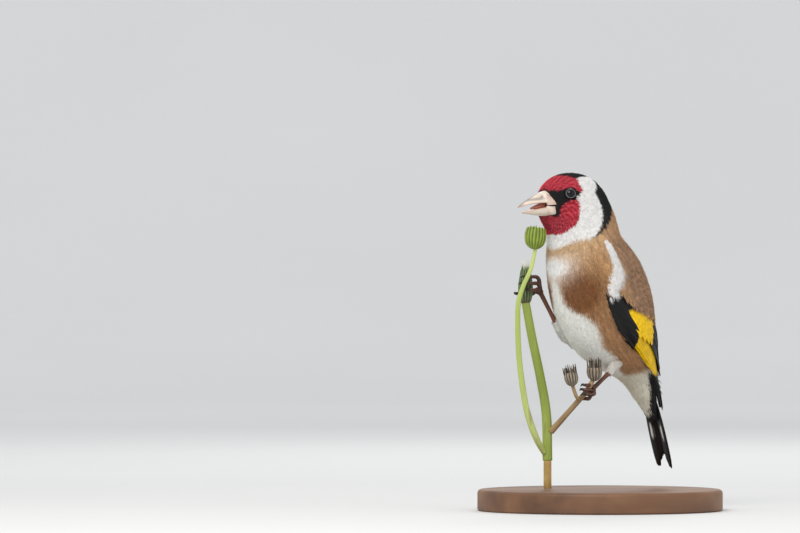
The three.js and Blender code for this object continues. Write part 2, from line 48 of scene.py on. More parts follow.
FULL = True

# Driving dimensions, as in the solids
GAP = 0.3
EYE_RADIUS = 2.6
EYE_PLACE = np.array([-19.2, 8.4, 118.8])
# Sections of the body: x and z of the line of the back, x and z of the line of the belly, and half the width
SECTIONS = np.array(
    [
        [-25.9, 116.6, -25.6, 113.6, 1.2],
        [-25.8, 118.9, -24.9, 110.8, 3.6],
        [-24.9, 121.3, -24.1, 108.9, 5.8],
        [-22.5, 123.8, -23.6, 107.2, 7.9],
        [-18.8, 125.8, -22.9, 105.8, 9.6],
        [-14.0, 126.6, -22.1, 104.5, 10.7],
        [-8.8, 126.0, -21.6, 103.0, 11.3],
        [-4.1, 123.8, -21.4, 101.3, 11.7],
        [-0.5, 120.2, -21.3, 99.2, 12.1],
        [2.1, 115.5, -21.3, 96.8, 12.7],
        [4.4, 110.6, -21.3, 94.0, 13.5],
        [7.2, 105.2, -21.1, 90.4, 14.4],
        [10.7, 99.4, -20.6, 86.0, 15.2],
        [13.9, 92.7, -19.6, 80.6, 15.7],
        [16.1, 85.8, -17.9, 74.6, 15.8],
        [17.5, 79.0, -15.0, 68.6, 15.6],
        [18.5, 72.0, -11.0, 62.6, 14.8],
        [19.3, 65.5, -5.8, 57.4, 13.3],
        [20.2, 59.5, 0.6, 53.6, 11.2],
        [21.2, 54.0, 7.2, 50.8, 9.0],
        [22.4, 48.8, 12.6, 47.4, 7.0],
        [23.8, 43.6, 16.4, 42.8, 5.6],
        [25.2, 38.6, 19.4, 37.4, 4.6],
        [26.6, 33.6, 22.2, 31.8, 3.8],
    ]
)
BODY_END = len(SECTIONS) - 1
# Sections of the bill's halves: x, z of the upper and of the lower edge, and half the width
UPPER_BILL = np.array(
    [
        [-22.0, 120.2, 114.9, 4.7],
        [-24.2, 120.0, 115.1, 4.2],
        [-28.0, 118.8, 115.1, 2.9],
        [-32.2, 116.6, 114.6, 1.6],
        [-35.2, 114.8, 113.8, 0.7],
        [-36.8, 113.6, 113.3, 0.15],
    ]
)
LOWER_BILL = np.array(
    [
        [-22.0, 113.9, 110.4, 4.1],
        [-24.2, 113.8, 110.3, 3.6],
        [-28.0, 113.2, 110.4, 2.4],
        [-31.8, 112.4, 110.9, 1.3],
        [-35.0, 111.6, 111.3, 0.15],
    ]
)
NOSTRIL_PLACE = np.array([-27.4, 2.6, 117.5])
# The visible eye: its drop under the solid one's middle, its radius, its step forwards, and its lids
EYE_DROP = 0.35
EYE_BALL = 2.3
EYE_FORWARD = 0.3
LID_RADIUS = 1.88
LID_THICK = 0.25
# The folded wing: its first and last section, its gap over the body, its thickness, and the rise of its tip
WING_FROM, WING_TO = 9.6, 22.4
WING_LIFT = 0.52
WING_THICK = 1.8
WING_TIP_RAISE = 1.3
# Rows along the folded wing: angle of its lower edge and of its upper edge from the back line, in degrees
WING_EDGES = np.array(
    [[84, 74], [103, 45], [105, 29], [105, 21], [103, 16], [100, 12], [91, 11], [83, 13], [77, 16], [73, 19],
     [42, 26]]
)
SIDES = {"left": -1, "right": 1}


# Small helpers


def srgb(red, green, blue):
    """The linear colour of a screen colour given as 0 to 255."""
    c = np.array([red, green, blue]) / 255
    return np.where(c <= 0.04045, c / 12.92, ((c + 0.055) / 1.055) ** 2.4)


def step(x, low, high):
    """A smooth rise from 0 at low to 1 at high."""
    f = np.clip((x - low) / (high - low), 0, 1)
    return f * f * (3 - 2 * f)


def window(x, low, high, fall, end):
    """A smooth rise from low to high, and a smooth fall from fall to end."""
    return step(x, low, high) * (1 - step(x, fall, end))


def mix(a, b, f):
    f = np.asarray(f)[..., None]
    return a * (1 - f) + b * f


def unit(v):
    return v / np.maximum(np.linalg.norm(v, axis=-1, keepdims=True), 1e-9)


def along(rows, t):
    """A smooth curve through rows of numbers, at place t counted in rows."""
    t = np.asarray(t, float)
    last = len(rows) - 1
    i = np.clip(np.floor(t).astype(int), 0, last - 1)
    f = (t - i)[..., None]
    padded = np.vstack([2 * rows[0] - rows[1], rows, 2 * rows[-1] - rows[-2]])
    a, b, d, e = padded[i], padded[i + 1], padded[i + 2], padded[i + 3]
    return 0.5 * (
        2 * b + (d - a) * f + (2 * a - 5 * b + 4 * d - e) * f**2 + (3 * b - a - 3 * d + e) * f**3
    )


def make(name, verts, faces, colours, look, slot, replaced=(), smooth=True, uvs=None):
    """A mesh object from vertices in mm, riding on the frame. colours has a row for each vertex, uvs too."""
    mesh = bpy.data.meshes.new(name)
    faces = np.asarray(faces)
    size = faces.shape[1]
    mesh.vertices.add(len(verts))
    mesh.vertices.foreach_set("co", (np.asarray(verts, np.float32) * MM).ravel())
    mesh.loops.add(faces.size)
    mesh.loops.foreach_set("vertex_index", faces.astype(np.int32).ravel())
    mesh.polygons.add(len(faces))
    mesh.polygons.foreach_set("loop_start", np.arange(0, faces.size, size, dtype=np.int32))
    mesh.polygons.foreach_set("use_smooth", np.full(len(faces), smooth))
    if colours is not None:
        attribute = mesh.color_attributes.new("Tint", "FLOAT_COLOR", "POINT")
        rgba = np.ones((len(verts), 4), np.float32)
        rgba[:, :3] = colours
        attribute.data.foreach_set("color", rgba.ravel())
    if uvs is not None:
        layer = mesh.uv_layers.new(name="OFBake")
        layer.data.foreach_set("uv", np.asarray(uvs, np.float32)[faces.ravel()].ravel())
    mesh.update(calc_edges=True)
    mesh.validate()
    piece = bpy.data.objects.new(name, mesh)
    bpy.context.collection.objects.link(piece)
    mesh.materials.append(look.material)
    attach(piece, "root")
    if replaced:
        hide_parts(*replaced)
    return piece


def in_map(x, low, high):
    """Where x lies between low and high, on a map with a narrow margin."""
    return 0.01 + 0.98 * (x - low) / (high - low)


def grid(rows, columns):
    return np.meshgrid(rows, columns, indexing="ij")


def full_turn(count):
    """So many angles, evenly round a full turn."""
    return np.linspace(0, 2 * np.pi, count, endpoint=False)


def grid_faces(rows, columns):
    """Quads of a grid of points whose rows are rings."""
    r, c = grid(np.arange(rows - 1), np.arange(columns))
    a = (r * columns + c).ravel()
    b = (r * columns + (c + 1) % columns).ravel()
    return np.stack([a, b, b + columns, a + columns], -1)


def capped(rings):
    """Vertices and triangles of a closed body through rings of points (rows, columns, 3), facing outwards."""
    rows, columns = rings.shape[:2]
    quads = grid_faces(rows, columns)
    faces = [quads[:, [0, 1, 2]], quads[:, [0, 2, 3]]]
    verts = np.vstack([rings.reshape(-1, 3), rings[0].mean(0), rings[-1].mean(0)])
    k = np.arange(columns)
    first, last = rows * columns, rows * columns + 1
    start = (rows - 1) * columns
    faces.append(np.stack([(k + 1) % columns, k, np.full(columns, first)], -1))
    faces.append(np.stack([start + k, start + (k + 1) % columns, np.full(columns, last)], -1))
    faces = np.vstack(faces)
    a, b, c = (verts[faces[:, i]] for i in range(3))
    if np.einsum("ij,ij->i", a, np.cross(b, c)).sum() < 0:
        faces = faces[:, ::-1]
    return verts, faces


def folded(top, bottom):
    """Rings round a sheet: along its top, and back along its bottom."""
    return np.concatenate([top, bottom[:, ::-1]], 1)


def with_ends(rings):
    """The values at rings of points, in the order of the vertices that capped gives."""
    return np.vstack([rings.reshape(-1, rings.shape[-1]), rings[0, 0], rings[-1, -1]])


def rounded(radius, height, columns):
    """Rings about the Z axis, one for each radius and height."""
    turn = full_turn(columns)
    radius = radius[:, None]
    z = np.broadcast_to(height[:, None], (len(height), columns))
    return np.stack([radius * np.cos(turn), radius * np.sin(turn), z], -1)


def globe(rows, columns):
    """Rings of a ball of radius 1 about the Z axis."""
    polar = np.linspace(0.02, np.pi - 0.02, rows)
    return rounded(np.sin(polar), np.cos(polar), columns)


def together(parts):
    """One list of vertices, faces and colours from several (vertices, faces, colours)."""
    verts, faces, colours, count = [], [], [], 0
    for v, f, c in parts:
        verts.append(v)
        faces.append(f + count)
        colours.append(np.broadcast_to(c, v.shape))
        count += len(v)
    return np.vstack(verts), np.vstack(faces), np.vstack(colours)


# The body's surface


def flat_body(t, phi):
    """Points on the body's surface."""
    dx, dz, vx, vz, w = np.moveaxis(along(SECTIONS, t), -1, 0)
    c = np.cos(phi)
    return np.stack([(dx + vx + (dx - vx) * c) / 2, w * np.sin(phi), (dz + vz + (dz - vz) * c) / 2], -1)


def body(t, phi, lift=0.0):
    """Points over the body's surface, raised by lift mm."""
    t, phi, lift = np.broadcast_arrays(np.asarray(t, float), phi, lift)
    e = 0.02
    forward = flat_body(t + e, phi) - flat_body(t - e, phi)
    around = flat_body(t, phi + e) - flat_body(t, phi - e)
    return flat_body(t, phi) + unit(np.cross(forward, around)) * lift[..., None]


def wing_band(t):
    """The angles in degrees of the folded wing's lower and upper edges at t, and t's share of its length."""
    a = np.clip((t - WING_FROM) / (WING_TO - WING_FROM), 0, 1)
    edges = along(WING_EDGES, a * (len(WING_EDGES) - 1))
    return edges[..., 0], edges[..., 1], a


def wing_top(t, angle):
    """How high the folded wing's outside lies over the body at section t and angle in degrees."""
    """How high the folded wing's outside lies over the body at section t and angle in degrees."""
    lower, upper, a = wing_band(t)
    rim = 0.35 + 0.65 * window(angle, upper, upper + 8, lower - 8, lower)
    tip_raise = WING_TIP_RAISE * step(a, 0.65, 1)
    return WING_LIFT + 0.3 + tip_raise + WING_THICK * rim * np.sin(np.pi * (0.1 + 0.85 * a))


def wing_height(t, phi):
    """How far the outside of body and folded wing together stands off the body's surface."""
    lower, upper, _ = wing_band(t)
    angle = np.degrees(np.abs(phi))
    within = window(angle, upper - 4, upper + 2, lower - 2, lower + 6)
    ends = window(t, WING_FROM - 0.8, WING_FROM + 3.4, WING_TO - 0.1, WING_TO + 0.3)
    return wing_top(t, angle) * within * ends


# The markings, as outlines in section numbers and degrees from the line of the back, alike on both sides

RED_FOREHEAD = [
    (1.6, -5), (3.88, -5), (3.88, 6), (4.1, 16), (4.6, 30), (5.03, 37), (5.12, 45), (5.15, 53),
    (5.48, 59), (5.5, 68), (5.25, 70), (4.9, 64), (4.35, 59), (3.85, 60), (3.48, 60), (2.73, 56),
    (1.73, 34),
]
BLACK_CROWN = [
    (3.88, -5), (3.88, 6), (4.1, 16), (4.6, 30), (5.03, 37), (5.3, 31), (5.95, 22), (6.4, 14), (6.8, 8),
    (7.0, -5),
]
BLACK_NAPE = [
    (6.6, -5), (6.62, 10), (6.72, 26), (6.93, 43), (6.72, 58), (7.3, 61), (7.98, 66), (8.65, 72),
    (9.3, 84), (9.45, 98), (9.43, 106), (9.55, 100), (9.68, 87), (9.58, 74), (9.4, 57), (9.12, 36),
    (8.7, 15), (8.6, -5),
]
NAPE_PATCH = [(7.7, -5), (7.7, 12), (8.3, 20), (9.2, 22), (9.6, -5)]
BLACK_LORE = [
    (-1, -5), (1.72, -5), (1.74, 6), (1.73, 34), (2.73, 56), (3.48, 60), (3.85, 60), (4.35, 59),
    (4.9, 64), (5.25, 70), (5.35, 76), (5.05, 86), (4.3, 89), (3.4, 97), (3.15, 110), (3.43, 119),
    (3.3, 128), (2.6, 138), (1.58, 141), (-1, 143),
]
RED_THROAT = [
    (-1, 141), (1.58, 141), (2.6, 138), (3.3, 128), (3.43, 119), (3.15, 110), (3.4, 97), (4.3, 89),
    (5.33, 85), (5.95, 101), (6.62, 112), (6.88, 120), (6.75, 131), (6.4, 152), (5.7, 178), (5.7, 190),
    (-1, 190),
]
# The bill's bare base on the face: section of its rear edge at each angle, above and below the gape
UPPER_BASE = np.array([[30, 1.3], [46, 1.45], [75, 1.93], [90, 2.36], [96, 2.43]])
LOWER_BASE = np.array([[102, 2.2], [106, 2.25], [114, 2.5], [124, 2.7], [134, 2.05], [146, 1.5]])
# The last section of the white of cheek and collar, at each angle
WHITE_END = np.array(
    [[7.0, 0], [7.2, 38], [7.5, 59], [8.2, 62], [9.0, 77], [9.45, 95], [9.5, 106], [8.97, 121], [8.6, 138],
     [8.5, 160], [8.6, 185]]
)
# The edge between the brown of the breast and flank and the white of the belly: section and angle
BELLY_EDGE = np.array(
    [[11.2, 172], [12.6, 170], [13.5, 166], [14.1, 154], [14.4, 142], [15.0, 133], [15.7, 133], [16.4, 137],
     [17.2, 128], [18.0, 140], [18.9, 152]]
)
# Where the small feathers over the folded wing end
SCAPULAR_END = np.array(
    [[17.5, 0], [16.8, 20], [16.05, 36], [15.65, 44], [15.15, 60], [14.6, 76], [13.9, 85], [13.2, 92],
     [13.1, 112]]
)
# The line of the white band on the breast's side, beside the front of the wing
FRINGE_FRONT = np.array(
    [[10.75, 87], [11.0, 86], [11.35, 85.5], [11.85, 87], [12.43, 89], [12.93, 94], [13.4, 103]]
)
# The lower edge of the black feathers over the tail's root, above the pale ones under it
UNDERTAIL_EDGE = np.array([[18.8, 70], [19.3, 86], [20.4, 100], [21.3, 116], [22.1, 142], [22.6, 175]])

RED = srgb(218, 30, 56)
# Painted light of the red: a deeper red for painted shade, and a pinkish red for painted highlights
PAINTED_SHADE_RED = srgb(156, 14, 38)
PAINTED_HIGHLIGHT_RED = srgb(246, 96, 112)
BLACK = srgb(24, 22, 24)
WHITE = srgb(250, 248, 246)
BUFF = srgb(216, 180, 138)
BREAST = srgb(202, 158, 112)
PATCH = srgb(132, 84, 46)
FLANK = srgb(178, 134, 94)
MANTLE = srgb(168, 132, 103)
UPPER_MANTLE = srgb(192, 152, 114)
RUMP = srgb(220, 206, 186)
BELLY = srgb(242, 242, 236)
VENT = srgb(230, 227, 211)
YELLOW = srgb(255, 206, 4)
FEATHER_BLACK = srgb(17, 15, 16)


def inside(outline, t, angle):
    """Whether places lie inside an outline."""
    found = np.zeros(t.shape, bool)
    for (t0, p0), (t1, p1) in zip(outline, outline[1:] + outline[:1]):
        crosses = (p0 > angle) != (p1 > angle)
        if p0 != p1:
            found ^= crosses & (t < (t1 - t0) * (angle - p0) / (p1 - p0) + t0)
    return found


def spot(t, angle, at, wide):
    """A soft spot at a place (section, degrees), 1 in its middle."""
    return np.exp(-(((t - at[0]) / wide[0]) ** 2) - ((angle - at[1]) / wide[1]) ** 2)


def plumage(t, phi):
    """The colour of the small feathers at each place."""
    t, phi = np.broadcast_arrays(np.asarray(t, float), phi)
    angle = np.degrees(np.abs(phi))
    under = step(angle, 74, 96)
    back = mix(UPPER_MANTLE, MANTLE, step(t, 9.6, 12.2))
    colour = mix(back, BREAST, under)
    colour = mix(colour, BUFF, under * (1 - step(t, 9.4, 11.6)))
    colour = mix(colour, FLANK, under * step(t, 13.6, 15.2))
    patch = spot(t, angle, (13.05, 140), (1.35, 31))
    colour = mix(colour, PATCH, np.clip(1.5 * patch, 0, 0.96) * step(angle, 92, 106))
    chest = spot(t, angle, (10.8, 182), (1.0, 34))
    colour = mix(colour, WHITE, np.clip(1.5 * chest, 0, 1))
    edge = np.interp(t, BELLY_EDGE[:, 0], BELLY_EDGE[:, 1])
    colour = mix(colour, BELLY, step(angle, edge - 6, edge + 6) * step(t, 11.4, 12.4))
    colour = mix(colour, VENT, step(t, 18.7, 19.3) * step(angle, 50, 75))
    colour = mix(colour, RUMP, step(t, 17.0, 18.4) * (1 - step(angle, 40, 70)))
    under_tail = np.interp(t, UNDERTAIL_EDGE[:, 0], UNDERTAIL_EDGE[:, 1])
    black_from = np.where(angle > 35, 18.9, 19.9)
    black_full = np.where(angle > 35, 19.3, 20.5)
    black_tail = step(t, black_from, black_full) * (1 - step(angle, under_tail - 9, under_tail + 5))
    colour = mix(colour, FEATHER_BLACK, np.maximum(black_tail, step(t, 22.3, 22.6)))
    white_to = np.interp(angle, WHITE_END[:, 1], WHITE_END[:, 0])
    softness = np.where(angle < 106, 0.05, 0.35)
    colour = mix(colour, WHITE, 1 - step(t, white_to - softness, white_to + softness))
    line = np.interp(t, FRINGE_FRONT[:, 0], FRINGE_FRONT[:, 1])
    beside = np.exp(-(((angle - line + 0.5) / np.where(angle > line, 4.0, 2.0)) ** 2))
    colour = mix(colour, WHITE, beside * window(t, 10.5, 11.3, 13.3, 13.7))
    for outline, shade in (
        (BLACK_NAPE, BLACK),
        (NAPE_PATCH, RUMP),
        (BLACK_CROWN, BLACK),
        (RED_FOREHEAD, RED),
        (BLACK_LORE, BLACK),
        # The throat's red deepens towards the underside of the chin: painted shade
        (RED_THROAT, mix(RED, PAINTED_SHADE_RED, step(angle, 105, 150))),
    ):
        colour = np.where(inside(outline, t, angle)[..., None], shade, colour)
    return colour


def mottle(along_rate, around_rate):
    """A smooth random pattern over places (t, phi), mostly between -1 and 1, with about so many turns for
    each section and each radian."""
    waves = 16
    rate_t = rng.normal(0, along_rate, waves)
    rate_phi = rng.uniform(0.4, 1.0, waves) * around_rate * rng.choice([-1, 1], waves)
    shift = rng.uniform(0, 2 * np.pi, waves)

    def value(t, phi):
        turns = np.asarray(t)[..., None] * rate_t + np.asarray(phi)[..., None] * rate_phi
        return np.clip(np.sin(2 * np.pi * turns + shift).sum(-1) / math.sqrt(2 * waves), -1, 1)

    return value


# Materials


class Look:
    """A material with one shader, and the nodes that give it colour and relief."""

    def __init__(self, name, roughness=0.6, metallic=0.0, coat=0.0, sheen=0.0, specular=0.5):
        self.material = bpy.data.materials.new(name)
        self.material.use_nodes = True
        self.nodes = self.material.node_tree.nodes
        self.links = self.material.node_tree.links
        self.shader = self.nodes["Principled BSDF"]
        self.shader.inputs["Roughness"].default_value = roughness
        self.shader.inputs["Metallic"].default_value = metallic
        self.shader.inputs["Coat Weight"].default_value = coat
        self.shader.inputs["Sheen Weight"].default_value = sheen
        self.shader.inputs["Specular IOR Level"].default_value = specular

    def noise(self, scale, detail=3.0, stretch=(1, 1, 1)):
        """A noise texture's value, in the object's own coordinates."""
        place = self.nodes.new("ShaderNodeTexCoord")
        mapping = self.nodes.new("ShaderNodeMapping")
        mapping.inputs["Scale"].default_value = stretch
        texture = self.nodes.new("ShaderNodeTexNoise")
        texture.inputs["Scale"].default_value = scale
        texture.inputs["Detail"].default_value = detail
        self.links.new(place.outputs["Object"], mapping.inputs["Vector"])
        self.links.new(mapping.outputs["Vector"], texture.inputs["Vector"])
        return texture.outputs["Fac"]

    def ramp(self, factor, *stops):
        """A colour ramp with stops of (position, linear colour)."""
        node = self.nodes.new("ShaderNodeValToRGB")
        elements = node.color_ramp.elements
        while len(elements) < len(stops):
            elements.new(0.5)
        for element, (position, colour) in zip(elements, stops):
            element.position = position
            element.color = (*colour, 1)
        self.links.new(factor, node.inputs["Fac"])
        return node.outputs["Color"]

    def product(self, first, second):
        """Two colours multiplied."""
        node = self.nodes.new("ShaderNodeMix")
        node.data_type = "RGBA"
        node.blend_type = "MULTIPLY"
        node.inputs["Factor"].default_value = 1
        self.links.new(first, node.inputs["A"])
        self.links.new(second, node.inputs["B"])
        return node.outputs["Result"]

    def paint(self, colour):
        self.links.new(colour, self.shader.inputs["Base Color"])

    def bump(self, height, strength, distance):
        node = self.nodes.new("ShaderNodeBump")
        node.inputs["Strength"].default_value = strength
        node.inputs["Distance"].default_value = distance * MM
        self.links.new(height, node.inputs["Height"])
        self.links.new(node.outputs["Normal"], self.shader.inputs["Normal"])


def tinted(name, spread=0.25, scale=900, stretch=(1, 1, 1), **shading):
    """A look that takes its colour from the mesh's Tint, varied by fine noise."""
    look = Look(name, **shading)
    tint = look.nodes.new("ShaderNodeAttribute")
    tint.attribute_name = "Tint"
    shade = look.ramp(look.noise(scale, stretch=stretch), (0.3, (1 - spread,) * 3), (0.7, (1, 1, 1)))
    look.paint(look.product(tint.outputs["Color"], shade))
    return look


coat_look = tinted("plumage", spread=0.18, roughness=0.72, sheen=0.12, specular=0.25)
skin_look = tinted("skin", spread=0.3, scale=400, roughness=0.85, specular=0.2)
vane_look = tinted("flight_feather", spread=0.22, scale=500, roughness=0.5, specular=0.25)
vane_look.bump(vane_look.noise(2600), 0.35, 0.05)


# The skin: one body under the coat


def coat_depth(t):
    """How thick the coat lies over the skin at section t."""
    return np.interp(t, [0, 3, 8, 12, 17, 20.5, 22, 23], [0.5, 0.8, 1.0, 1.2, 1.2, 0.9, 1.5, 2.0])


def closer(t, phi):
    """How much closer than elsewhere the feathers of the upper back lie."""
    on_back = 1 - step(np.degrees(np.abs(phi)), 50, 80)
    return np.interp(t, [9.9, 11.4, 12.2, 13.2, 14.6], [0, 1.5, 1.5, 0.9, 0]) * on_back


def sunk_at_eyes(points):
    """Points near an eye drawn in to make its socket."""
    depth = 3.2
    for side in SIDES.values():
        centre = EYE_PLACE * (1, side, 1)
        away = points - centre
        near = np.linalg.norm(away[..., [0, 2]], axis=-1)
        f = (1 - step(near, EYE_RADIUS - 0.5, EYE_RADIUS + 0.2)) * (points[..., 1] * side > 0)
        points = points - f[..., None] * np.array([0, side * depth, 0])
    return points


def build_skin():
    rows, columns = 150, 96
    t, phi = grid(np.linspace(0, BODY_END, rows), np.linspace(-np.pi, np.pi, columns, endpoint=False))
    rings = sunk_at_eyes(body(t, phi, -coat_depth(t) - closer(t, phi)))
    verts, faces = capped(rings)
    # Painted shade: the skin is the plumage's colour a fifth darker, as shade under the coat, and black where
    # the wing shows
    shades = np.where(wing_shows(t, phi)[..., None], FEATHER_BLACK, plumage(t, phi) * 0.8)
    colours = np.vstack([shades.reshape(-1, 3), plumage([0.0, BODY_END], [0.0, 0.0])])
    parts = [(verts, faces, colours)]
    for leg in LEGS.values():
        # The thighs' skin is the belly's colour a fifth darker: painted shade under the coat
        parts.append(bar(leg["thigh"], THIGH_RADII, 20, 16, BELLY * 0.8, grow=-0.5))
    make(
        "skin", *together(parts), skin_look, "plumage_torso",
        ["head", "neck", "torso", "thigh_left", "thigh_right"],
    )


# Round bars: legs, toes and stems


def tube(points, radii, steps, sides, grow=0.0, ripple=0.0, ripples=0):
    """Rings of points round a smooth line through points. Ripple gives cross rings, as on a scaled leg."""
    line = np.asarray(points, float)
    share = np.linspace(0, len(line) - 1, steps)
    centre = along(line, share)
    ahead = unit(along(line, share + 0.01) - along(line, share - 0.01))
    radius = along(np.asarray(radii, float)[:, None], share * (len(radii) - 1) / (len(line) - 1))[:, 0] + grow
    radius = radius * (1 + ripple * np.abs(np.sin(np.pi * ripples * np.linspace(0, 1, steps))))
    across = np.zeros_like(ahead)
    guide = np.array([0.2, 1.0, 0.1])
    for k, direction in enumerate(ahead):
        guide = unit(guide - direction * guide.dot(direction))
        across[k] = guide
    other = np.cross(ahead, across)
    angle = full_turn(sides)[None, :, None]
    return (
        centre[:, None]
        + radius[:, None, None] * np.cos(angle) * across[:, None]
        + radius[:, None, None] * np.sin(angle) * other[:, None]
    )


def bar(points, radii, steps, sides, colour, **shape):
    """A closed round bar through points, as (vertices, faces, colour)."""
    return (*capped(tube(points, radii, steps, sides, **shape)), colour)


BUD_RADIUS = 2.8
STALK_RADIUS = 1.0
TOE_RADIUS = 0.72
CLAW_RADIUS = 0.42
THIGH_RADII = (3.0, 2.2, 1.2)
# A toe is its height over the grip, its first and last angle round it, its claw's angle, and its way round
LEGS = {
    "right": {
        "thigh": [(-6, 7.6, 62.5), (-11.5, 7.3, 66.4), (-15.2, 7.1, 70.3)],
        "ankle": (-14.5, 7.1, 69.3),
        "sole": (-22.3, 6.5, 81.4),
        "grip": (-29.2, 6.3, 83.6),
        "grip_radius": BUD_RADIUS,
        "toes": [
            (4.1, 0.35, 1.9, 0.85, -1),
            (1.6, 0.3, 2.2, 0.75, -1),
            (-0.9, 0.25, 1.8, 0.8, -1),
            (-2.2, 0.2, 2.1, 0.7, 1),
        ],
    },
    "left": {
        "thigh": [(6.4, -6.9, 60), (2.8, -7.6, 56), (-1.2, -8.4, 52)],
        "ankle": (0.6, -8.1, 53.3),
        "sole": (-9.2, -9, 45.9),
        "grip": (-12.9, -9.4, 44.4),
        "grip_radius": STALK_RADIUS,
        "toes": [
            (2.9, 0.5, 2.2, 0.9, -1),
            (1.2, 0.4, 2.5, 0.9, -1),
            (-0.5, 0.5, 2.1, 0.9, -1),
            (-2.2, 0.4, 1.9, 0.9, 1),
        ],
    },
}
LEG_BROWN = srgb(122, 66, 40)
TOE_BROWN = srgb(88, 52, 38)
CLAW_DARK = srgb(34, 26, 22)


def build_legs():
    scales = tinted("scales", spread=0.35, scale=700, roughness=0.45, specular=0.5)
    scales.bump(scales.noise(1800), 0.3, 0.08)
    steps, sides = 60, 20
    for name, leg in LEGS.items():
        ankle, sole, grip = (np.array(leg[key]) for key in ("ankle", "sole", "grip"))
        line = [ankle, (ankle + sole) / 2, sole]
        shank = tube(line, (0.95, 0.75, 0.85), steps, sides, ripple=0.1, ripples=11)
        shade = mix(LEG_BROWN, TOE_BROWN, np.linspace(0, 1, steps).repeat(sides))
        colours = np.vstack([shade, LEG_BROWN, TOE_BROWN])
        make(f"tarsus_{name}_scaled", *capped(shank), colours, scales, "leg", [f"tarsus_{name}"])
        reach = leg["grip_radius"] + TOE_RADIUS + GAP + 0.1
        heel = unit(sole - ankle)
        line = [sole - heel * 0.7, sole + heel * 0.7, sole + heel * 2.1]
        parts = [bar(line, (0.7, 1.3, 0.6), 14, 18, TOE_BROWN)]
        for rise, start, end, claw, turn in leg["toes"]:

            def around(angle, radius, up):
                return grip + (radius * math.cos(angle), turn * radius * math.sin(angle), up)

            points = [sole, around(start, reach + 1.2, rise * 0.7)]
            points += [around(a, reach, rise) for a in np.linspace(start, end, 5)]
            radii = [TOE_RADIUS * (1 - 0.035 * k) for k in range(len(points))]
            parts.append(bar(points, radii, 56, 14, TOE_BROWN, ripple=0.14, ripples=10))
            tip = [
                around(end - 0.06, reach, rise),
                around(end + claw * 0.5, reach + 0.15, rise + 0.2),
                around(end + claw, reach + 0.1, rise - 0.5),
            ]
            parts.append(bar(tip, (CLAW_RADIUS * 1.2, CLAW_RADIUS, 0.06), 16, 12, CLAW_DARK))
        make(f"foot_{name}_scaled", *together(parts), scales, "foot", [f"foot_{name}"])


# The bill

FLOOR_COLUMNS = 8
BASE_START = 0.7


def bill_half(rows, is_upper):
    """Rings along one half of the bill, round on its outside and slightly hollow on the inside."""
    steps, sides = 48, 40
    x, top, bottom, half = np.moveaxis(along(rows, np.linspace(0, len(rows) - 1, steps)), -1, 0)[..., None]
    flat, round_edge = (bottom, top) if is_upper else (top, bottom)
    angle = np.linspace(0, np.pi, sides - FLOOR_COLUMNS)
    y = half * np.cos(angle)
    z = flat + (round_edge - flat) * np.abs(np.sin(angle)) ** 0.8
    shell = np.stack([np.broadcast_to(x, y.shape), y, z], -1)
    inner = np.linspace(-1, 1, FLOOR_COLUMNS + 2)[1:-1]
    hollow = (round_edge - flat) * 0.12 * (1 - inner**2)
    floor = np.stack([np.broadcast_to(x, hollow.shape), half * inner, flat + hollow], -1)
    rings = np.concatenate([shell, floor], 1)
    if is_upper:
        for side in SIDES.values():
            away = np.linalg.norm((rings - NOSTRIL_PLACE * (1, side, 1)) * (0.8, 0.6, 1), axis=-1)
            rings[..., 1] -= side * 0.5 * (1 - step(away, 0.2, 0.7))
    return rings


def bill_base(rear, side):
    """The horn that spreads from one half of the bill over the face, up to a rear edge (angle, section)."""
    angle = np.linspace(rear[0, 0], rear[-1, 0], 26)[None, :]
    edge = np.interp(angle, rear[:, 0], rear[:, 1])
    share = np.linspace(0, 1, 12)[:, None]
    t = BASE_START + (edge - BASE_START) * share
    w = (angle - rear[0, 0]) / (rear[-1, 0] - rear[0, 0])
    lift = (0.7 - 0.66 * share**1.3) * (0.3 + 0.7 * np.sin(np.pi * np.clip(w * 0.9 + 0.08, 0, 1)))
    phi = side * np.radians(np.broadcast_to(angle, t.shape))
    return folded(body(t, phi, lift), body(t, phi, -0.9))


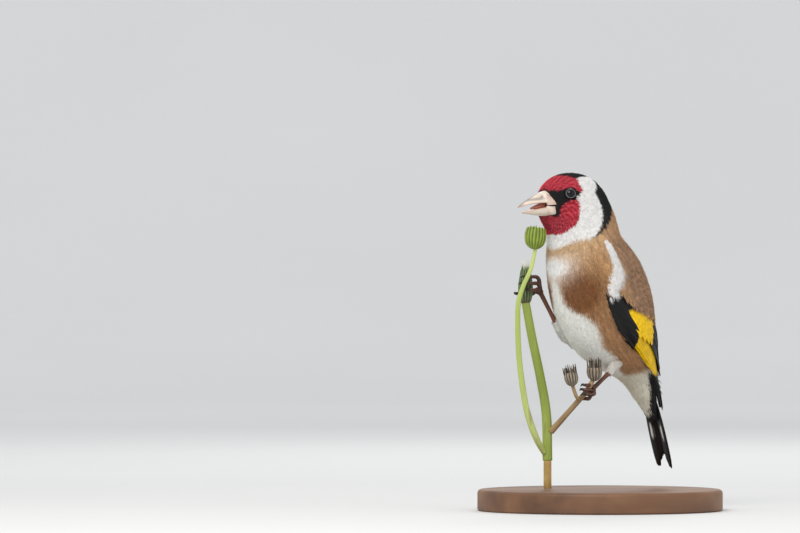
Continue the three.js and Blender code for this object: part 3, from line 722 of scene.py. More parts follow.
def build_bill():
    horn = tinted("horn", spread=0.3, scale=260, stretch=(0.18, 1, 1), roughness=0.36, coat=0.1)
    horn.bump(horn.noise(300, stretch=(0.3, 1, 1)), 0.25, 0.15)
    ivory, grey, pink, dark = srgb(240, 224, 208), srgb(112, 100, 98), srgb(214, 160, 138), srgb(60, 48, 46)
    for name, rows, is_upper in (("bill_upper", UPPER_BILL, True), ("bill_lower", LOWER_BILL, False)):
        verts, faces = capped(bill_half(rows, is_upper))
        x, y, z = verts.T
        share = np.clip((x + 25) / -12, 0, 1)
        colours = mix(ivory, grey, step(share, 0.7, 1.0) * 0.8)
        ridge = np.exp(-((y / 0.6) ** 2)) * step(share, 0.1, 0.5)
        colours = mix(colours, grey, ridge * (0.75 if is_upper else 0.3))
        flat = np.interp(-x, -rows[:, 0], rows[:, 2 if is_upper else 1])
        edge = 1 - step(np.abs(z - flat), 0.1, 0.8)
        colours = mix(colours, pink, edge * 0.7)
        if is_upper:
            # Painted shade: a dark spot in the nostril's dent
            away = np.linalg.norm((verts - NOSTRIL_PLACE * (1, 0, 1)) * (0.8, 0, 1), axis=-1)
            colours = mix(colours, dark, (1 - step(away, 0.2, 0.6)) * 0.5)
            streak = np.exp(-(((z - flat - 1.7) / 0.55) ** 2)) * window(share, 0.05, 0.3, 0.6, 0.9)
            colours = mix(colours, grey, streak * 0.7)
        make(f"{name}_horn", verts, faces, colours, horn, "bill", [name])
    bases = []
    for side in SIDES.values():
        for rear, rosy in ((UPPER_BASE, 0.7), (LOWER_BASE, 0.3)):
            rings = bill_base(rear, side)
            share = np.broadcast_to(np.linspace(0, 1, len(rings))[:, None], rings.shape[:2])
            shades = mix(ivory, mix(mix(ivory, pink, rosy), grey, 0.35), share)
            bases.append((*capped(rings), with_ends(shades)))
    verts, faces, colours = together(bases)
    make("bill_base", verts, faces, colours * rng.uniform(0.9, 1.03, (len(verts), 1)), horn, "bill")
    line = [(-23, 0, 114.1), (-27, 0, 113.9), (-31.2, 0, 113.1)]
    tongue = bar(line, (1.5, 1.1, 0.3), 24, 16, srgb(196, 118, 100))
    lining = np.array([-23.4, 0, 114.4]) + globe(28, 36) * (2.2, 3.4, 0.9)
    make("mouth", *together([tongue, (*capped(lining), srgb(150, 74, 62))]), horn, "bill")


# Eyes and lids


def build_eyes():
    eyeball = tinted("eyeball", spread=0.1, scale=300, roughness=0.1, specular=0.3)
    lid = tinted("lid", spread=0.3, scale=1500, roughness=0.6)
    lid.bump(lid.noise(2500), 0.4, 0.1)
    iris, pupil = srgb(34, 22, 18), srgb(5, 4, 4)
    steps, sides = 64, 14
    ring, cross = grid(full_turn(steps), full_turn(sides))
    beads = 1 + 0.12 * np.sin(ring * 19) * np.sin(cross)
    wide = LID_RADIUS + LID_THICK * beads * np.cos(cross)
    high = 1.62 - 0.33 * np.cos(cross) + 0.3 * beads * np.sin(cross)
    shade = mix(srgb(116, 120, 131), srgb(26, 24, 27), step(np.cos(cross), -0.5, 0.5))
    # Painted light: the ring is lighter on its lower side and darker on its top
    shade = (shade * (0.8 - 0.2 * np.sin(ring))[..., None]).reshape(-1, 3)
    quads = grid_faces(steps + 1, sides) % (steps * sides)
    for name, side in SIDES.items():
        out = unit((body(4.4, side * 1.3, 1) - body(4.4, side * 1.3, 0)) * (1, 1, 0.3))
        centre = EYE_PLACE * (1, side, 1) - (0, 0, EYE_DROP)
        middle = centre + EYE_FORWARD * out
        right = unit(np.cross(out, (0, 0, 1)))
        up = np.cross(right, out)
        verts, faces = capped(middle + EYE_BALL * (globe(40, 48) @ np.stack([right, up, out])))
        facing = unit(verts - middle) @ out
        colours = mix(iris, pupil, step(facing, 0.80, 0.84))
        colours = mix(colours, pupil, 1 - step(facing, 0.45, 0.6))
        make(f"eye_{name}_glass", verts, faces, colours, eyeball, "eye", [f"eye_{name}"])
        rings = (
            centre
            + (wide * np.cos(ring))[..., None] * right
            + (wide * 0.88 * np.sin(ring))[..., None] * up
            + high[..., None] * out
        )
        outwards = quads[:, ::-1] if side > 0 else quads
        make(f"lid_{name}", rings.reshape(-1, 3), outwards, shade, lid, "eye")


# The coat: tufts of fine barbs, each a thin closed blade with three sides

BLADES = 5
BLADE_SPACING = 1.6
BLADE_FAN = 0.26
BLADE_FACES = np.array(
    [[0, 2, 1], [0, 1, 4], [0, 4, 3], [1, 2, 5], [1, 5, 4], [2, 0, 3], [2, 3, 5], [3, 4, 6], [4, 5, 6],
     [5, 3, 6]]
)
BLADE_MAP = np.array([[-0.6, -1], [0.6, -1], [0, -0.9], [-0.6, 0.2], [0.6, 0.2], [0, 0.3], [0, 1]])
MAP_PATCH = 0.0013


def tufts(name, where, place, size, colour_of, unwrap, slot, lean=0.0):
    """Tufts rooted at where = (a, b), on the surface place(a, b, lift). size holds each tuft's length, blade
    width, depth of root and height of tip in mm. unwrap gives each tuft's place on a flat map."""
    a, b = where
    length, width, depth, rise = (np.broadcast_to(v, a.shape)[:, None] for v in size)
    e = 1e-3
    per_a = np.linalg.norm(place(a + e, b, 0) - place(a - e, b, 0), axis=-1) / (2 * e)
    per_b = np.linalg.norm(place(a, b + e, 0) - place(a, b - e, 0), axis=-1) / (2 * e)
    count = len(a)
    fan = np.linspace(-1, 1, BLADES)[None, :] + rng.normal(0, 0.22, (count, BLADES))
    reach = length * (1 - 0.25 * np.abs(fan)) * rng.uniform(0.82, 1.1, (count, BLADES))
    side = fan * BLADE_FAN + (lean + rng.normal(0, 0.12, count))[:, None]
    tips = rise + rng.uniform(-0.15, 0.2, (count, BLADES)) + rng.uniform(-0.1, 0.25, (count, 1))

    def blade_at(run):
        """The places of the blades at so many mm of their length."""
        aside = fan * width * BLADE_SPACING + side * run
        return (
            a[:, None] + run / np.maximum(per_a, 0.5)[:, None],
            b[:, None] + aside / np.maximum(per_b, 1.5)[:, None],
        )

    centres, across, outward = [], [], []
    for share in (0.0, 0.55, 1.0):
        aa, bb = blade_at(reach * share)
        lift = -depth + (tips + depth) * share**0.7
        centre = place(aa, bb, lift)
        centres.append(centre)
        outward.append(unit(place(aa, bb, lift + 0.2) - centre))
        across.append(unit(place(aa, bb + 0.02, lift) - centre))
    half = width / 2 * rng.uniform(0.8, 1.2, (count, BLADES))
    verts = np.empty((count, BLADES, 7, 3))
    for k, taper in enumerate((0.8, 1.0)):
        w = (half * taper)[..., None]
        verts[:, :, 3 * k] = centres[k] - across[k] * w
        verts[:, :, 3 * k + 1] = centres[k] + across[k] * w
        verts[:, :, 3 * k + 2] = centres[k] + outward[k] * w * 0.7
    verts[:, :, 6] = centres[2]
    faces = (BLADE_FACES[None] + 7 * np.arange(count * BLADES)[:, None, None]).reshape(-1, 3)
    tint = colour_of(*blade_at(0.7 * reach))
    pale = step(tint.mean(-1, keepdims=True), 0.35, 0.7)
    tint = tint * (1 + rng.uniform(-0.3, 0.16, (count, 1, 1)) * (1 - 0.6 * pale))
    tint = tint * (1 + rng.uniform(-0.2, 0.12, (count, BLADES, 1)) * (1 - 0.5 * pale))
    # Painted shade: each blade is darker at its root, where the tufts shade each other, and lighter towards
    # its tip; less so on pale feathers
    root = 0.5 + 0.35 * pale[..., None, :]
    colours = tint[:, :, None, :] * np.array([0.0] * 3 + [0.92] * 3 + [1.1])[None, None, :, None]
    colours[:, :, :3] = tint[:, :, None, :] * root
    u, v = unwrap(a, b)
    uv = np.empty((count, BLADES, 7, 2))
    uv[..., 0] = u[:, None, None] + MAP_PATCH * fan[:, :, None] * 0.7
    uv[..., 1] = v[:, None, None]
    uv += MAP_PATCH * BLADE_MAP
    make(
        name, verts.reshape(-1, 3), faces, np.clip(colours, 0, 1).reshape(-1, 3), coat_look, slot,
        smooth=False, uvs=uv.reshape(-1, 2),
    )


# The root of x**4 = x + 1, whose powers spread places evenly in three dimensions
EVEN_RATIO = 1.2207440846057596


def spread(count, box, weight):
    """Even places in a box of (a, b), kept where weight(a, b), from 0 to 1, is above an even sequence."""
    found_a, found_b, have, start = [], [], 0, 0
    (a0, a1), (b0, b1) = box
    while have < count and start < 60 * count:
        k = np.arange(start, start + 2 * count)
        start += 2 * count
        a = a0 + (a1 - a0) * ((0.5 + k / EVEN_RATIO) % 1)
        b = b0 + (b1 - b0) * ((0.5 + k / EVEN_RATIO**2) % 1)
        kept = (0.5 + k / EVEN_RATIO**3) % 1 < weight(a, b)
        found_a.append(a[kept])
        found_b.append(b[kept])
        have += kept.sum()
    a, b = np.concatenate(found_a)[:count], np.concatenate(found_b)[:count]
    jitter = 0.35 * math.sqrt((a1 - a0) * (b1 - b0) / count)
    return a + rng.normal(0, jitter, len(a)), b + rng.normal(0, jitter, len(b))


def body_area(t, phi):
    """Square millimetres of the body's surface for each section and radian."""
    e = 1e-3
    along_t = (flat_body(t + e, phi) - flat_body(t - e, phi)) / (2 * e)
    around = (flat_body(t, phi + e) - flat_body(t, phi - e)) / (2 * e)
    return np.linalg.norm(np.cross(along_t, around), axis=-1)


def covered(t, phi, lift):
    """The outside of body and folded wing together, raised by lift."""
    return body(t, phi, wing_height(t, phi) + lift - closer(t, phi))


def wing_shows(t, phi):
    """Whether the folded wing's large feathers show here, so that no small feathers grow."""
    angle = np.degrees(np.abs(phi))
    lower, upper, _ = wing_band(t)
    below_scapulars = t > np.interp(angle, SCAPULAR_END[:, 1], SCAPULAR_END[:, 0])
    beyond = np.interp(t, [14, 16.2, 17.4, 18.6, 19.4, 22], [10, 10, 4, 4, 9, 10])
    return below_scapulars & (angle < lower + beyond) & (angle > upper + 4)


def free_of_bill_and_eyes(t, phi):
    """Whether a place is clear of the bill's base and the eye, so that feathers grow there."""
    p = flat_body(t, phi)
    angle = np.degrees(np.abs(phi))
    eye = np.linalg.norm((p - EYE_PLACE * (1, 0, 1) + (0, 0, EYE_DROP)) * (1, 0, 1.1), axis=-1) > 2.15
    bases = np.vstack([[0, 1.5], UPPER_BASE, LOWER_BASE, [180, 1.2]])
    return eye & (t > np.interp(angle, bases[:, 0], bases[:, 1]))


def coat_lengths(t):
    return np.interp(t, [0, 2, 5, 8, 9.5, 12, 17, 20, 23], [0.9, 1.2, 1.7, 2.4, 3.4, 4.4, 5.0, 5.0, 4.5])


def build_coat():
    regions = {
        "coat_face": (3700, (0.5, 4.6), (-180, 180), "plumage_head"),
        "coat_cheeks": (3700, (4.6, 6.9), (-180, 180), "plumage_head"),
        "coat_nape": (3500, (6.9, 9.2), (-180, 180), "plumage_neck"),
        "coat_mantle": (3800, (9.2, 20.2), (-95, 95), "plumage_torso"),
        "coat_breast_left": (3000, (9.2, 14.6), (-180, -84), "plumage_torso"),
        "coat_breast_right": (3000, (9.2, 14.6), (84, 180), "plumage_torso"),
        "coat_belly_left": (2400, (14.6, 20.6), (-180, -80), "plumage_torso"),
        "coat_belly_right": (2400, (14.6, 20.6), (80, 180), "plumage_torso"),
    }
    for name, (count, t_range, degrees, slot) in regions.items():
        phi_range = tuple(math.radians(v) for v in degrees)
        count = count if FULL else count // 3
        t0, t1 = t_range
        sample_t, sample_phi = np.meshgrid(np.linspace(t0, t1, 30), np.linspace(*phi_range, 60))
        densest = body_area(sample_t, sample_phi).max() * 1.02

        def weight(t, phi):
            kept = ~wing_shows(t, phi)
            if t0 < 6:
                kept &= free_of_bill_and_eyes(t, phi)
            angle = np.degrees(np.abs(phi))
            if name.startswith(("coat_breast", "coat_belly")):
                kept &= angle > 84
            if name == "coat_mantle":
                kept &= angle < 84 + 6 * (t < 13)
            fine = 1.0 + 0.9 * (1 - step(t, 1.5, 4.5))
            return kept * np.clip(body_area(t, phi) * fine / densest / (1.9 if t0 < 3 else 1), 0, 1)

        t, phi = spread(count, (t_range, phi_range), weight)
        length = coat_lengths(t) * rng.uniform(0.85, 1.15, len(t))
        width = np.interp(t, [0, 3, 8, 12, 23], [0.17, 0.21, 0.29, 0.4, 0.44])
        if not FULL:
            width = width * 1.7
        depth = coat_depth(t)
        rise = np.interp(t, [0, 4, 8, 12, 23], [-0.15, -0.3, -0.1, 0.1, 0.15])
        (u0, u1), (v0, v1) = t_range, phi_range
        pattern = mottle(4.2, 8) if t0 < 6.8 else mottle(0.5, 8)

        def shade(a, b):
            colour = plumage(a + rng.normal(0, 0.05, a.shape), b + rng.normal(0, 0.03, b.shape))
            shift = pattern(a, b)
            reddish = step(colour[..., 0] - 3 * colour[..., 1], 0.05, 0.3)
            strength = 0.13 * (1 - 0.8 * step(colour.mean(-1), 0.35, 0.7))
            colour = colour * (1 + strength * shift)[..., None]
            # Red feathers are mottled between painted shade and painted highlights, in a random pattern
            return mix(colour, mix(PAINTED_SHADE_RED, PAINTED_HIGHLIGHT_RED, np.clip(0.4 + 0.75 * shift, 0, 1)), 0.8 * reddish)

        tufts(
            name,
            (t, phi),
            covered,
            (length, width, depth, rise),
            shade,
            lambda a, b: (in_map(b, v0, v1), in_map(a, u0, u1)),
            slot,
        )


def build_fringe():
    """The white hair-like feathers of the breast's sides, which lie over the front of the wing."""
    for name, side in SIDES.items():
        count = 900 if FULL else 300
        s = rng.uniform(0, 1, count) ** 0.85 * (len(FRINGE_FRONT) - 1)
        t, angle = along(FRINGE_FRONT, s).T
        t = t + rng.normal(-0.15, 0.2, count)
        angle = angle + rng.uniform(-1.2, 3.6, count) * np.clip(0.35 + s / 2, 0, 1)
        reach = rng.uniform(1.3, 2.2, count) + 4 * rng.uniform(0, 1, count) ** 3 * (s > 3.6)
        tufts(
            f"coat_fringe_{name}",
            (t, side * np.radians(angle)),
            covered,
            (reach, np.full(count, 0.15), np.full(count, 0.3), rng.uniform(0.2, 0.6, count)),
            lambda a, b: np.broadcast_to(WHITE, (*a.shape, 3)),
            lambda a, b: (in_map(np.abs(b), 1.2, 2.15), in_map(a, 8.5, 15)),
            "plumage_torso",
            lean=-side * rng.uniform(-0.05, 0.45, count),
        )


def build_thigh_coats():
    radii = np.array(THIGH_RADII)[:, None]
    for name, leg in LEGS.items():
        line = np.array(leg["thigh"], float)

        def place(s, angle, lift):
            s, angle, lift = np.broadcast_arrays(s, angle, lift)
            ahead = unit(along(line, s + 0.01) - along(line, s - 0.01))
            across = unit(np.cross(ahead, (0, 1, 0.01)))
            other = np.cross(ahead, across)
            outwards = np.cos(angle)[..., None] * across + np.sin(angle)[..., None] * other
            return along(line, s) + (along(radii, np.clip(s, 0, 2.1)) + lift[..., None]) * outwards

        count = 450 if FULL else 160
        s, angle = spread(count, ((0.5, 1.95), (0, 2 * np.pi)), lambda a, b: 1 - 0.3 * a)
        root = FLANK if name == "left" else BELLY
        tufts(
            f"coat_thigh_{name}",
            (s, angle),
            place,
            (rng.uniform(1.6, 2.4, count), np.full(count, 0.3), np.full(count, 0.5), np.full(count, 0.1)),
            lambda a, b: mix(root, BELLY, step(a, 0.4, 1.5) * 0.8),
            lambda a, b: (in_map(b, 0, 2 * np.pi), in_map(a, 0, 2)),
            "plumage_thigh",
        )


# Large feathers: thin closed vanes with a shaft

# The shaft's share of a vane's width, from its outer edge
SHAFT_AT = 0.35


def vane(edge, shaft, inner, lifts, surface, colour, rows=30, thick=0.16, tip=0.22, notch=0.0):
    """One vane. edge(s) gives the place (a, b) of its outer edge at share s of its length. shaft and inner are
    the distances in mm from there to its shaft and its inner edge, and lifts its heights at root and tip, each
    at its outer and its inner edge. surface(a, b, mm, lift) gives points mm inwards of a place."""
    columns = 9
    s = np.linspace(0, 1, rows)[:, None]
    w = np.linspace(0, 1, columns)[None, :]
    off_shaft = np.abs(w - SHAFT_AT)
    full = np.where(s > 1 - tip, np.sqrt(np.clip(1 - ((s - 1 + tip) / tip) ** 2, 0, 1)), 1.0)
    full = full * (0.45 + 0.55 * step(s, 0, 0.3))
    outer_web = shaft * (1 - full * (1 - w / SHAFT_AT))
    inner_web = shaft + (inner - shaft) * full * (w - SHAFT_AT) / (1 - SHAFT_AT)
    across = np.where(w < SHAFT_AT, outer_web, inner_web)
    ragged = notch * rng.normal(0, 1, (rows, 1)) * (off_shaft > 0.3)
    a, b = edge(np.broadcast_to(np.clip(s + ragged * 0.01, 0, 1), (rows, columns)))
    root, end = lifts
    outer_lift = root[0] + (end[0] - root[0]) * s
    inner_lift = root[1] + (end[1] - root[1]) * s
    camber = 0.2 * np.sin(np.pi * w) * (1 - s * 0.5)
    lift = outer_lift + (inner_lift - outer_lift) * w + camber
    spine = 0.12 * np.exp(-((off_shaft / 0.07) ** 2)) * (1 - s * 0.6)
    half = thick / 2 * np.sin(np.pi * (0.08 + 0.84 * w)) * np.clip(full, 0.25, 1)
    top = surface(a, b, across, lift + half + spine)
    bottom = surface(a, b, across, lift - half)
    tints = colour(np.broadcast_to(s, (rows, columns)), np.broadcast_to(w, (rows, columns)))
    tints = tints * (0.93 + 0.07 * np.cos(60 * s + 9 * off_shaft)[..., None])
    tints = tints * rng.uniform(0.9, 1.06, (rows, 1, 1))
    flat = np.stack(np.broadcast_arrays(0.1 + 0.8 * w, 0.03 + 0.94 * s), -1)
    # Painted shade: each vane's underside is a tenth darker than its top
    return (
        *capped(folded(top, bottom)),
        with_ends(folded(tints, tints * 0.9)),
        with_ends(folded(flat, flat)),
    )


def make_vanes(name, vanes, slot, replaced, cores=()):
    """One object from vanes and cores (vertices, faces, colours), each in a cell of its own in OFBake."""
    pieces = list(vanes)
    for verts, faces, colours in cores:
        low, high = verts.min(0), verts.max(0)
        pieces.append((verts, faces, colours, ((verts - low) / (high - low))[:, [0, 2]] * 0.9 + 0.05))
    columns = math.ceil(math.sqrt(len(vanes) * 3)) + 1
    rows = math.ceil(len(pieces) / columns)
    maps = [(piece[3] + (k % columns, k // columns)) / (columns, rows) for k, piece in enumerate(pieces)]
    make(name, *together([piece[:3] for piece in pieces]), vane_look, slot, replaced, uvs=np.vstack(maps))


def wing_surface(side):
    """Points on the folded wing, mm inwards of a place (section, angle) and lift mm over its outside."""

    def surface(t, angle, inwards, lift):
        e = 0.01
        phi = side * np.radians(angle)
        per_radian = np.linalg.norm(flat_body(t, phi + e) - flat_body(t, phi - e), axis=-1) / (2 * e)
        _, upper, _ = wing_band(t)
        inner = np.maximum(angle - np.degrees(inwards / np.maximum(per_radian, 1.0)), upper + 1)
        return body(t, side * np.radians(inner), np.maximum(wing_top(t, inner) + lift, 0.1))

    return surface


def black_feather(s, w):
    edge = step(np.abs(w - 0.4), 0.45, 0.6)[..., None]
    return FEATHER_BLACK * (1 - edge) + srgb(36, 31, 29) * edge


def tipped(colour, pale, length):
    """A feather colour with a soft pale tip."""
    return lambda s, w: mix(colour(s, w), pale, step(s, 1 - length, 1) * 0.7)


def yellow_based(first, last):
    """Yellow outer web between two shares of the length, black elsewhere."""


    def colour(s, w):
        end = last + 0.05 * (w - 0.2)
        web = (1 - step(w, 0.62, 0.72)) * window(s, first - 0.02, first, end - 0.015, end + 0.015)
        shaft = np.exp(-(((w - SHAFT_AT) / 0.035) ** 2))
        rim = 1 - step(w, 0.0, 0.06)
        return mix(black_feather(s, w), YELLOW, web * (1 - 0.5 * shaft) * (1 - 0.9 * rim))

    return colour


def covert_colour(s, w):
    return mix(black_feather(s, w), YELLOW, step(s, 0.3, 0.38))


def wing_line(t0, t1, offset, tip_angle):
    """The outer edge of a feather from section t0 to t1, that runs offset mm above the wing's lower edge and
    is drawn to tip_angle at its end."""

    def edge(s):
        t = t0 + (t1 - t0) * s
        lower, _, _ = wing_band(t)
        dx, dz, vx, vz, half = np.moveaxis(along(SECTIONS, t), -1, 0)
        radius = (half + np.hypot(dx - vx, dz - vz) / 2) / 2
        beside = lower - np.degrees(offset / radius)
        return t, beside + (tip_angle - beside) * step(s, 0.55, 1.15)

    return edge


PRIMARY_TIPS = (21.7, 22.15, 22.3, 22.1, 21.7, 21.3, 20.8, 20.3)
SECONDARY_TIPS = (19.75, 19.65, 19.5, 19.35, 19.2)
TERTIAL_TIPS = (19.4, 18.7, 17.9)
GREATER_COVERT_TIPS = (16.5, 16.8, 17.1, 17.25, 16.95, 16.65, 16.45, 16.3, 16.1)
PRIMARY_COVERT_TIPS = (17.0, 16.8, 16.6, 16.35, 16.1)
YELLOW_END = 19.45


def wing_vanes(side):
    surface = wing_surface(side)
    vanes = []
    for k, to in enumerate(PRIMARY_TIPS):
        start, low = 13.9, -0.9 + 0.07 * k
        edge = wing_line(start, to, 0.2 + 1.05 * k, 46 - 1.8 * k)
        colour = yellow_based(0.2, (YELLOW_END + 0.03 * k - start) / (to - start))
        lifts = ((-1.25, -1.4), (low, low - 0.2))
        vanes.append(vane(edge, 0.75, 3.6, lifts, surface, colour, rows=36, tip=0.14, notch=0.5))
    for k, to in enumerate(SECONDARY_TIPS):
        start, low = 14.6, 0.35 + 0.06 * k
        edge = wing_line(start, to, 5.9 + 1.0 * k, 48 - 2.4 * k)
        lifts = ((-1.1, -1.25), (low, low - 0.2))
        vanes.append(vane(edge, 0.9, 3.6, lifts, surface, black_feather))
    for k, to in enumerate(TERTIAL_TIPS):
        low = 1.0 + 0.1 * k
        edge = wing_line(14.6, to, 9.6 + 1.7 * k, 38 - 6 * k)
        colour = tipped(black_feather, srgb(150, 132, 112), 0.05)
        lifts = ((-1.0, -1.2), (low, low - 0.25))
        vanes.append(vane(edge, 1.5, 4.4, lifts, surface, colour, tip=0.25))
    for k, to in enumerate(PRIMARY_COVERT_TIPS):
        edge = wing_line(13.5, to, 0.85 * k - 1.7, 97 - 3.6 * k)
        low = -0.4 + 0.05 * k
        lifts = ((-1.1, -1.2), (low, low - 0.15))
        vanes.append(vane(edge, 0.7, 2.6, lifts, surface, black_feather, rows=22, tip=0.28))
    for k, to in enumerate(GREATER_COVERT_TIPS):
        edge = wing_line(14.0, to, 3.9 + 1.18 * k, 86 - 6.2 * k)
        low = -0.15 + 0.03 * k
        lifts = ((-1.0, -1.15), (low, low - 0.15))
        vanes.append(vane(edge, 0.9, 3.0, lifts, surface, covert_colour, rows=24, tip=0.24, notch=1.2))
    return vanes


def wing_core(side):
    """The smooth body under the wing's feathers."""
    rows, columns = 90, 30
    t = WING_FROM + (WING_TO - WING_FROM) * np.linspace(0.02, 0.97, rows)[:, None]
    lower, upper, _ = wing_band(t)
    angle = lower + (upper - lower) * np.linspace(0.04, 0.96, columns)[None, :]
    t = np.broadcast_to(t, angle.shape)
    phi = side * np.radians(angle)
    sunk = 2.4 * (1 - step(t, 12, 14.4))
    top = body(t, phi, np.maximum(wing_top(t, angle) - 1.35, WING_LIFT + 0.05) - sunk)
    bottom = body(t, phi, WING_LIFT - 0.1 - sunk)
    verts, faces = capped(folded(top, bottom))
    # Painted shade: away from the wing's black, the core is the plumage's colour at six tenths, as shade under
    # the feathers
    shades = np.where(wing_shows(t, phi)[..., None], FEATHER_BLACK, plumage(t, phi) * 0.6)
    return verts, faces, with_ends(folded(shades, shades))


def build_wings():
    for name, side in SIDES.items():
        vanes = wing_vanes(side)
        make_vanes(f"wing_{name}_feathers", vanes, "plumage_wing", [f"wing_{name}"], [wing_core(side)])


# The tail

TAIL_ROOT = np.array([22.4, 0, 44])
TAIL_DIRECTION = unit(np.array([0.275, 0.03, -0.961]))
TAIL_ACROSS = unit(np.array([0, 1, 0.1]))
TAIL_NORMAL = unit(np.cross(TAIL_ACROSS, TAIL_DIRECTION))
TAIL_START = -4
TAIL_LENGTHS = (29.0, 29.4, 28.2, 27.0, 25.9, 25.0)
TAIL_SPREAD = (4.6, 4.3, 3.7, 3.0, 2.3, 1.7)
TAIL_LAYER = 0.25
WHITE_FEATHERS = 2


def tail_point(length, across, lift):
    length, across, lift = np.broadcast_arrays(length, across, lift)
    return (
        TAIL_ROOT
        + length[..., None] * TAIL_DIRECTION
        + across[..., None] * TAIL_ACROSS
        + lift[..., None] * TAIL_NORMAL
    )


def tail_line(k):
    """The outer edge of tail feather k, counted from the outermost."""
    root = 1.6 + 0.35 * (5 - k)

    def edge(s):
        middle = 1.2 * np.sin(np.pi * s) * (1 - k / 6)
        length = TAIL_START + (TAIL_LENGTHS[k] - TAIL_START) * s
        return length, root + (TAIL_SPREAD[k] + 0.9 - root) * s + middle

    return edge


def tail_white(s, w):
    along_feather = step(s - 0.12 * w, 0.4, 0.44) * (1 - step(s + 0.1 * w, 0.7, 0.76))
    return mix(black_feather(s, w), WHITE, 0.9 * along_feather * window(w, 0.5, 0.6, 0.8, 0.9))


def build_tail():
    vanes = []
    for side in SIDES.values():

        def surface(length, outer, inwards, lift, side=side):
            return tail_point(length, side * (outer - inwards), lift + 0.04 * side)

        for k in range(len(TAIL_LENGTHS)):
            high = 0.5 - TAIL_LAYER * k
            lifts = ((high, high - 0.06), (high, high - 0.06))
            colour = tail_white if k < WHITE_FEATHERS else black_feather
            vanes.append(
                vane(tail_line(k), 0.9, 3.6, lifts, surface, colour, rows=34, thick=0.18, tip=0.16, notch=0.8)
            )
    make_vanes("tail_feathers", vanes, "plumage_tail", ["tail"])

    count = 2000 if FULL else 700
    low, high = 19.9, 22.2

    def weight(t, phi):
        lower, upper, _ = wing_band(t)
        angle = np.degrees(np.abs(phi))
        return (1 - 0.15 * (t - low)) * ~((angle > upper + 3) & (angle < lower - 4))

    t, phi = spread(count, ((low, high), (-np.pi, np.pi)), weight)
    tufts(
        "coat_tail_coverts",
        (t, phi),
        lambda a, b, lift: body(a, b, lift - 1.5 * step(a, 20.6, 23)),
        (rng.uniform(3.6, 5.0, len(t)), np.full(len(t), 0.36), np.full(len(t), 0.5), np.full(len(t), 0.12)),
        lambda a, b: plumage(a + rng.normal(0, 0.12, a.shape), b + rng.normal(0, 0.12, b.shape)),
        lambda a, b: (in_map(b, -np.pi, np.pi), in_map(a, low, high)),
        "plumage_tail",
    )


# The perch and the stand

STEM_LINE = [(-19.6, 6, 18.95), (-20.1, 6, 36), (-22.8, 6, 50), (-26.3, 6, 64), (-29.2, 6.25, 78)]
STEM_RADII = (1.9, 1.85, 1.75, 1.7, 1.6)
TWIG_LINE = [
    (-21.6, 5.5, 21.8), (-25.6, 4, 26.8), (-29, 3.2, 33), (-32.1, 2.4, 41.5), (-35.3, 1.4, 58),
    (-36.2, 0.8, 75.6), (-34.2, 0.6, 83.6), (-30.6, 0.6, 90.5), (-28.5, 0.6, 98.3),
]
ROUND_BUD_PLACE = (-28.6, 0.6, 101.95)
TWIG_RADII = (0.9, 1.25, 1.3, 1.2, 1.1, 1.0, 0.9, 0.8, 0.7)
STALK_LINE = [(-18.9, 4.6, 29.8), (-16.4, -2.5, 36.6), (-12.9, -9.4, 44.4), (-11.2, -11.9, 48.9)]
STALK_RADII = (1.25, 1.05, STALK_RADIUS, 0.9)
SIDE_STALK_LINE = [(-14.9, -8.4, 41.6), (-17.6, -10.4, 43.2), (-19.8, -11.3, 47.1)]
SIDE_STALK_RADII = (0.6, 0.7, 0.7)
SEED_HEADS = {
    "perch_seed_head_upper": ((-10.9, -12.6, 52.4), 1.0, (0.1, -0.1)),
    "perch_seed_head_side": ((-20.4, -11.3, 50.1), 0.9, (-0.3, 0.0)),
}
BASE_RADIUS = 46.0
BASE_HEIGHT = 8.0
BASE_BEVEL = 1.5


def ribbed(rings, ribs, depth):
    """Rings with so many ribs, and grooves between them by a share of their width."""
    centre = rings.mean(1, keepdims=True)
    rib = 0.5 + 0.5 * np.cos(ribs * full_turn(rings.shape[1]))
    return centre + (rings - centre) * (1 - depth * rib)[None, :, None]


def turned(profile, rows, columns):
    """Rings of a body turned about the Z axis, through rows of radius and height."""
    radius, height = along(np.array(profile, float), np.linspace(0, len(profile) - 1, rows)).T
    return rounded(np.maximum(radius, 0.02), height, columns)


def pod(profile, rows, columns, ribs, depth, dark, light):
    """A ribbed body turned about the Z axis, as (vertices, faces, colours), painted dark in the grooves as
    painted shade.
    """
    rings = ribbed(turned(profile, rows, columns), ribs, depth)
    # Painted shade in the grooves between the ribs
    groove = (0.5 + 0.5 * np.cos(ribs * full_turn(columns))) ** 1.5
    shade = mix(light, dark, np.broadcast_to(groove, (rows, columns)))
    shade = shade * rng.uniform(0.85, 1.1, (rows, columns, 1))
    return (*capped(rings), np.vstack([shade.reshape(-1, 3), dark, dark]))


def plant(name, *shades):
    """The look of a stem, with colours along its fibres given as (position, colour)."""
    look = Look(name, roughness=0.55)
    look.paint(look.ramp(look.noise(90, detail=5, stretch=(1, 1, 0.15)), *shades))
    look.bump(look.noise(900, stretch=(1, 1, 0.2)), 0.4, 0.15)
    return look


def bristles(count, low, high, radii, shades, out, sides=6):
    """Stiff hairs in a ring about the Z axis, from height low to about high, spreading outwards."""
    parts = []
    for k in range(count):
        turn = 2 * np.pi * (k + rng.uniform(-0.3, 0.3)) / count
        around = np.array([math.cos(turn), math.sin(turn)])
        inner = rng.uniform(0.45, 1.0)
        top = low + (high - low) * rng.uniform(0.7, 1.0)
        bend = rng.normal(0, 0.12)
        points = [
            (*(around * out[0] * inner), low),
            (*(around * (out[0] * 0.5 + out[1] * 0.5) * inner), (low + top) / 2),
            (*(around * out[1] * inner + bend), top),
        ]
        parts.append(bar(points, radii, 8, sides, shades[k % len(shades)] * rng.uniform(0.8, 1.15)))
    return parts


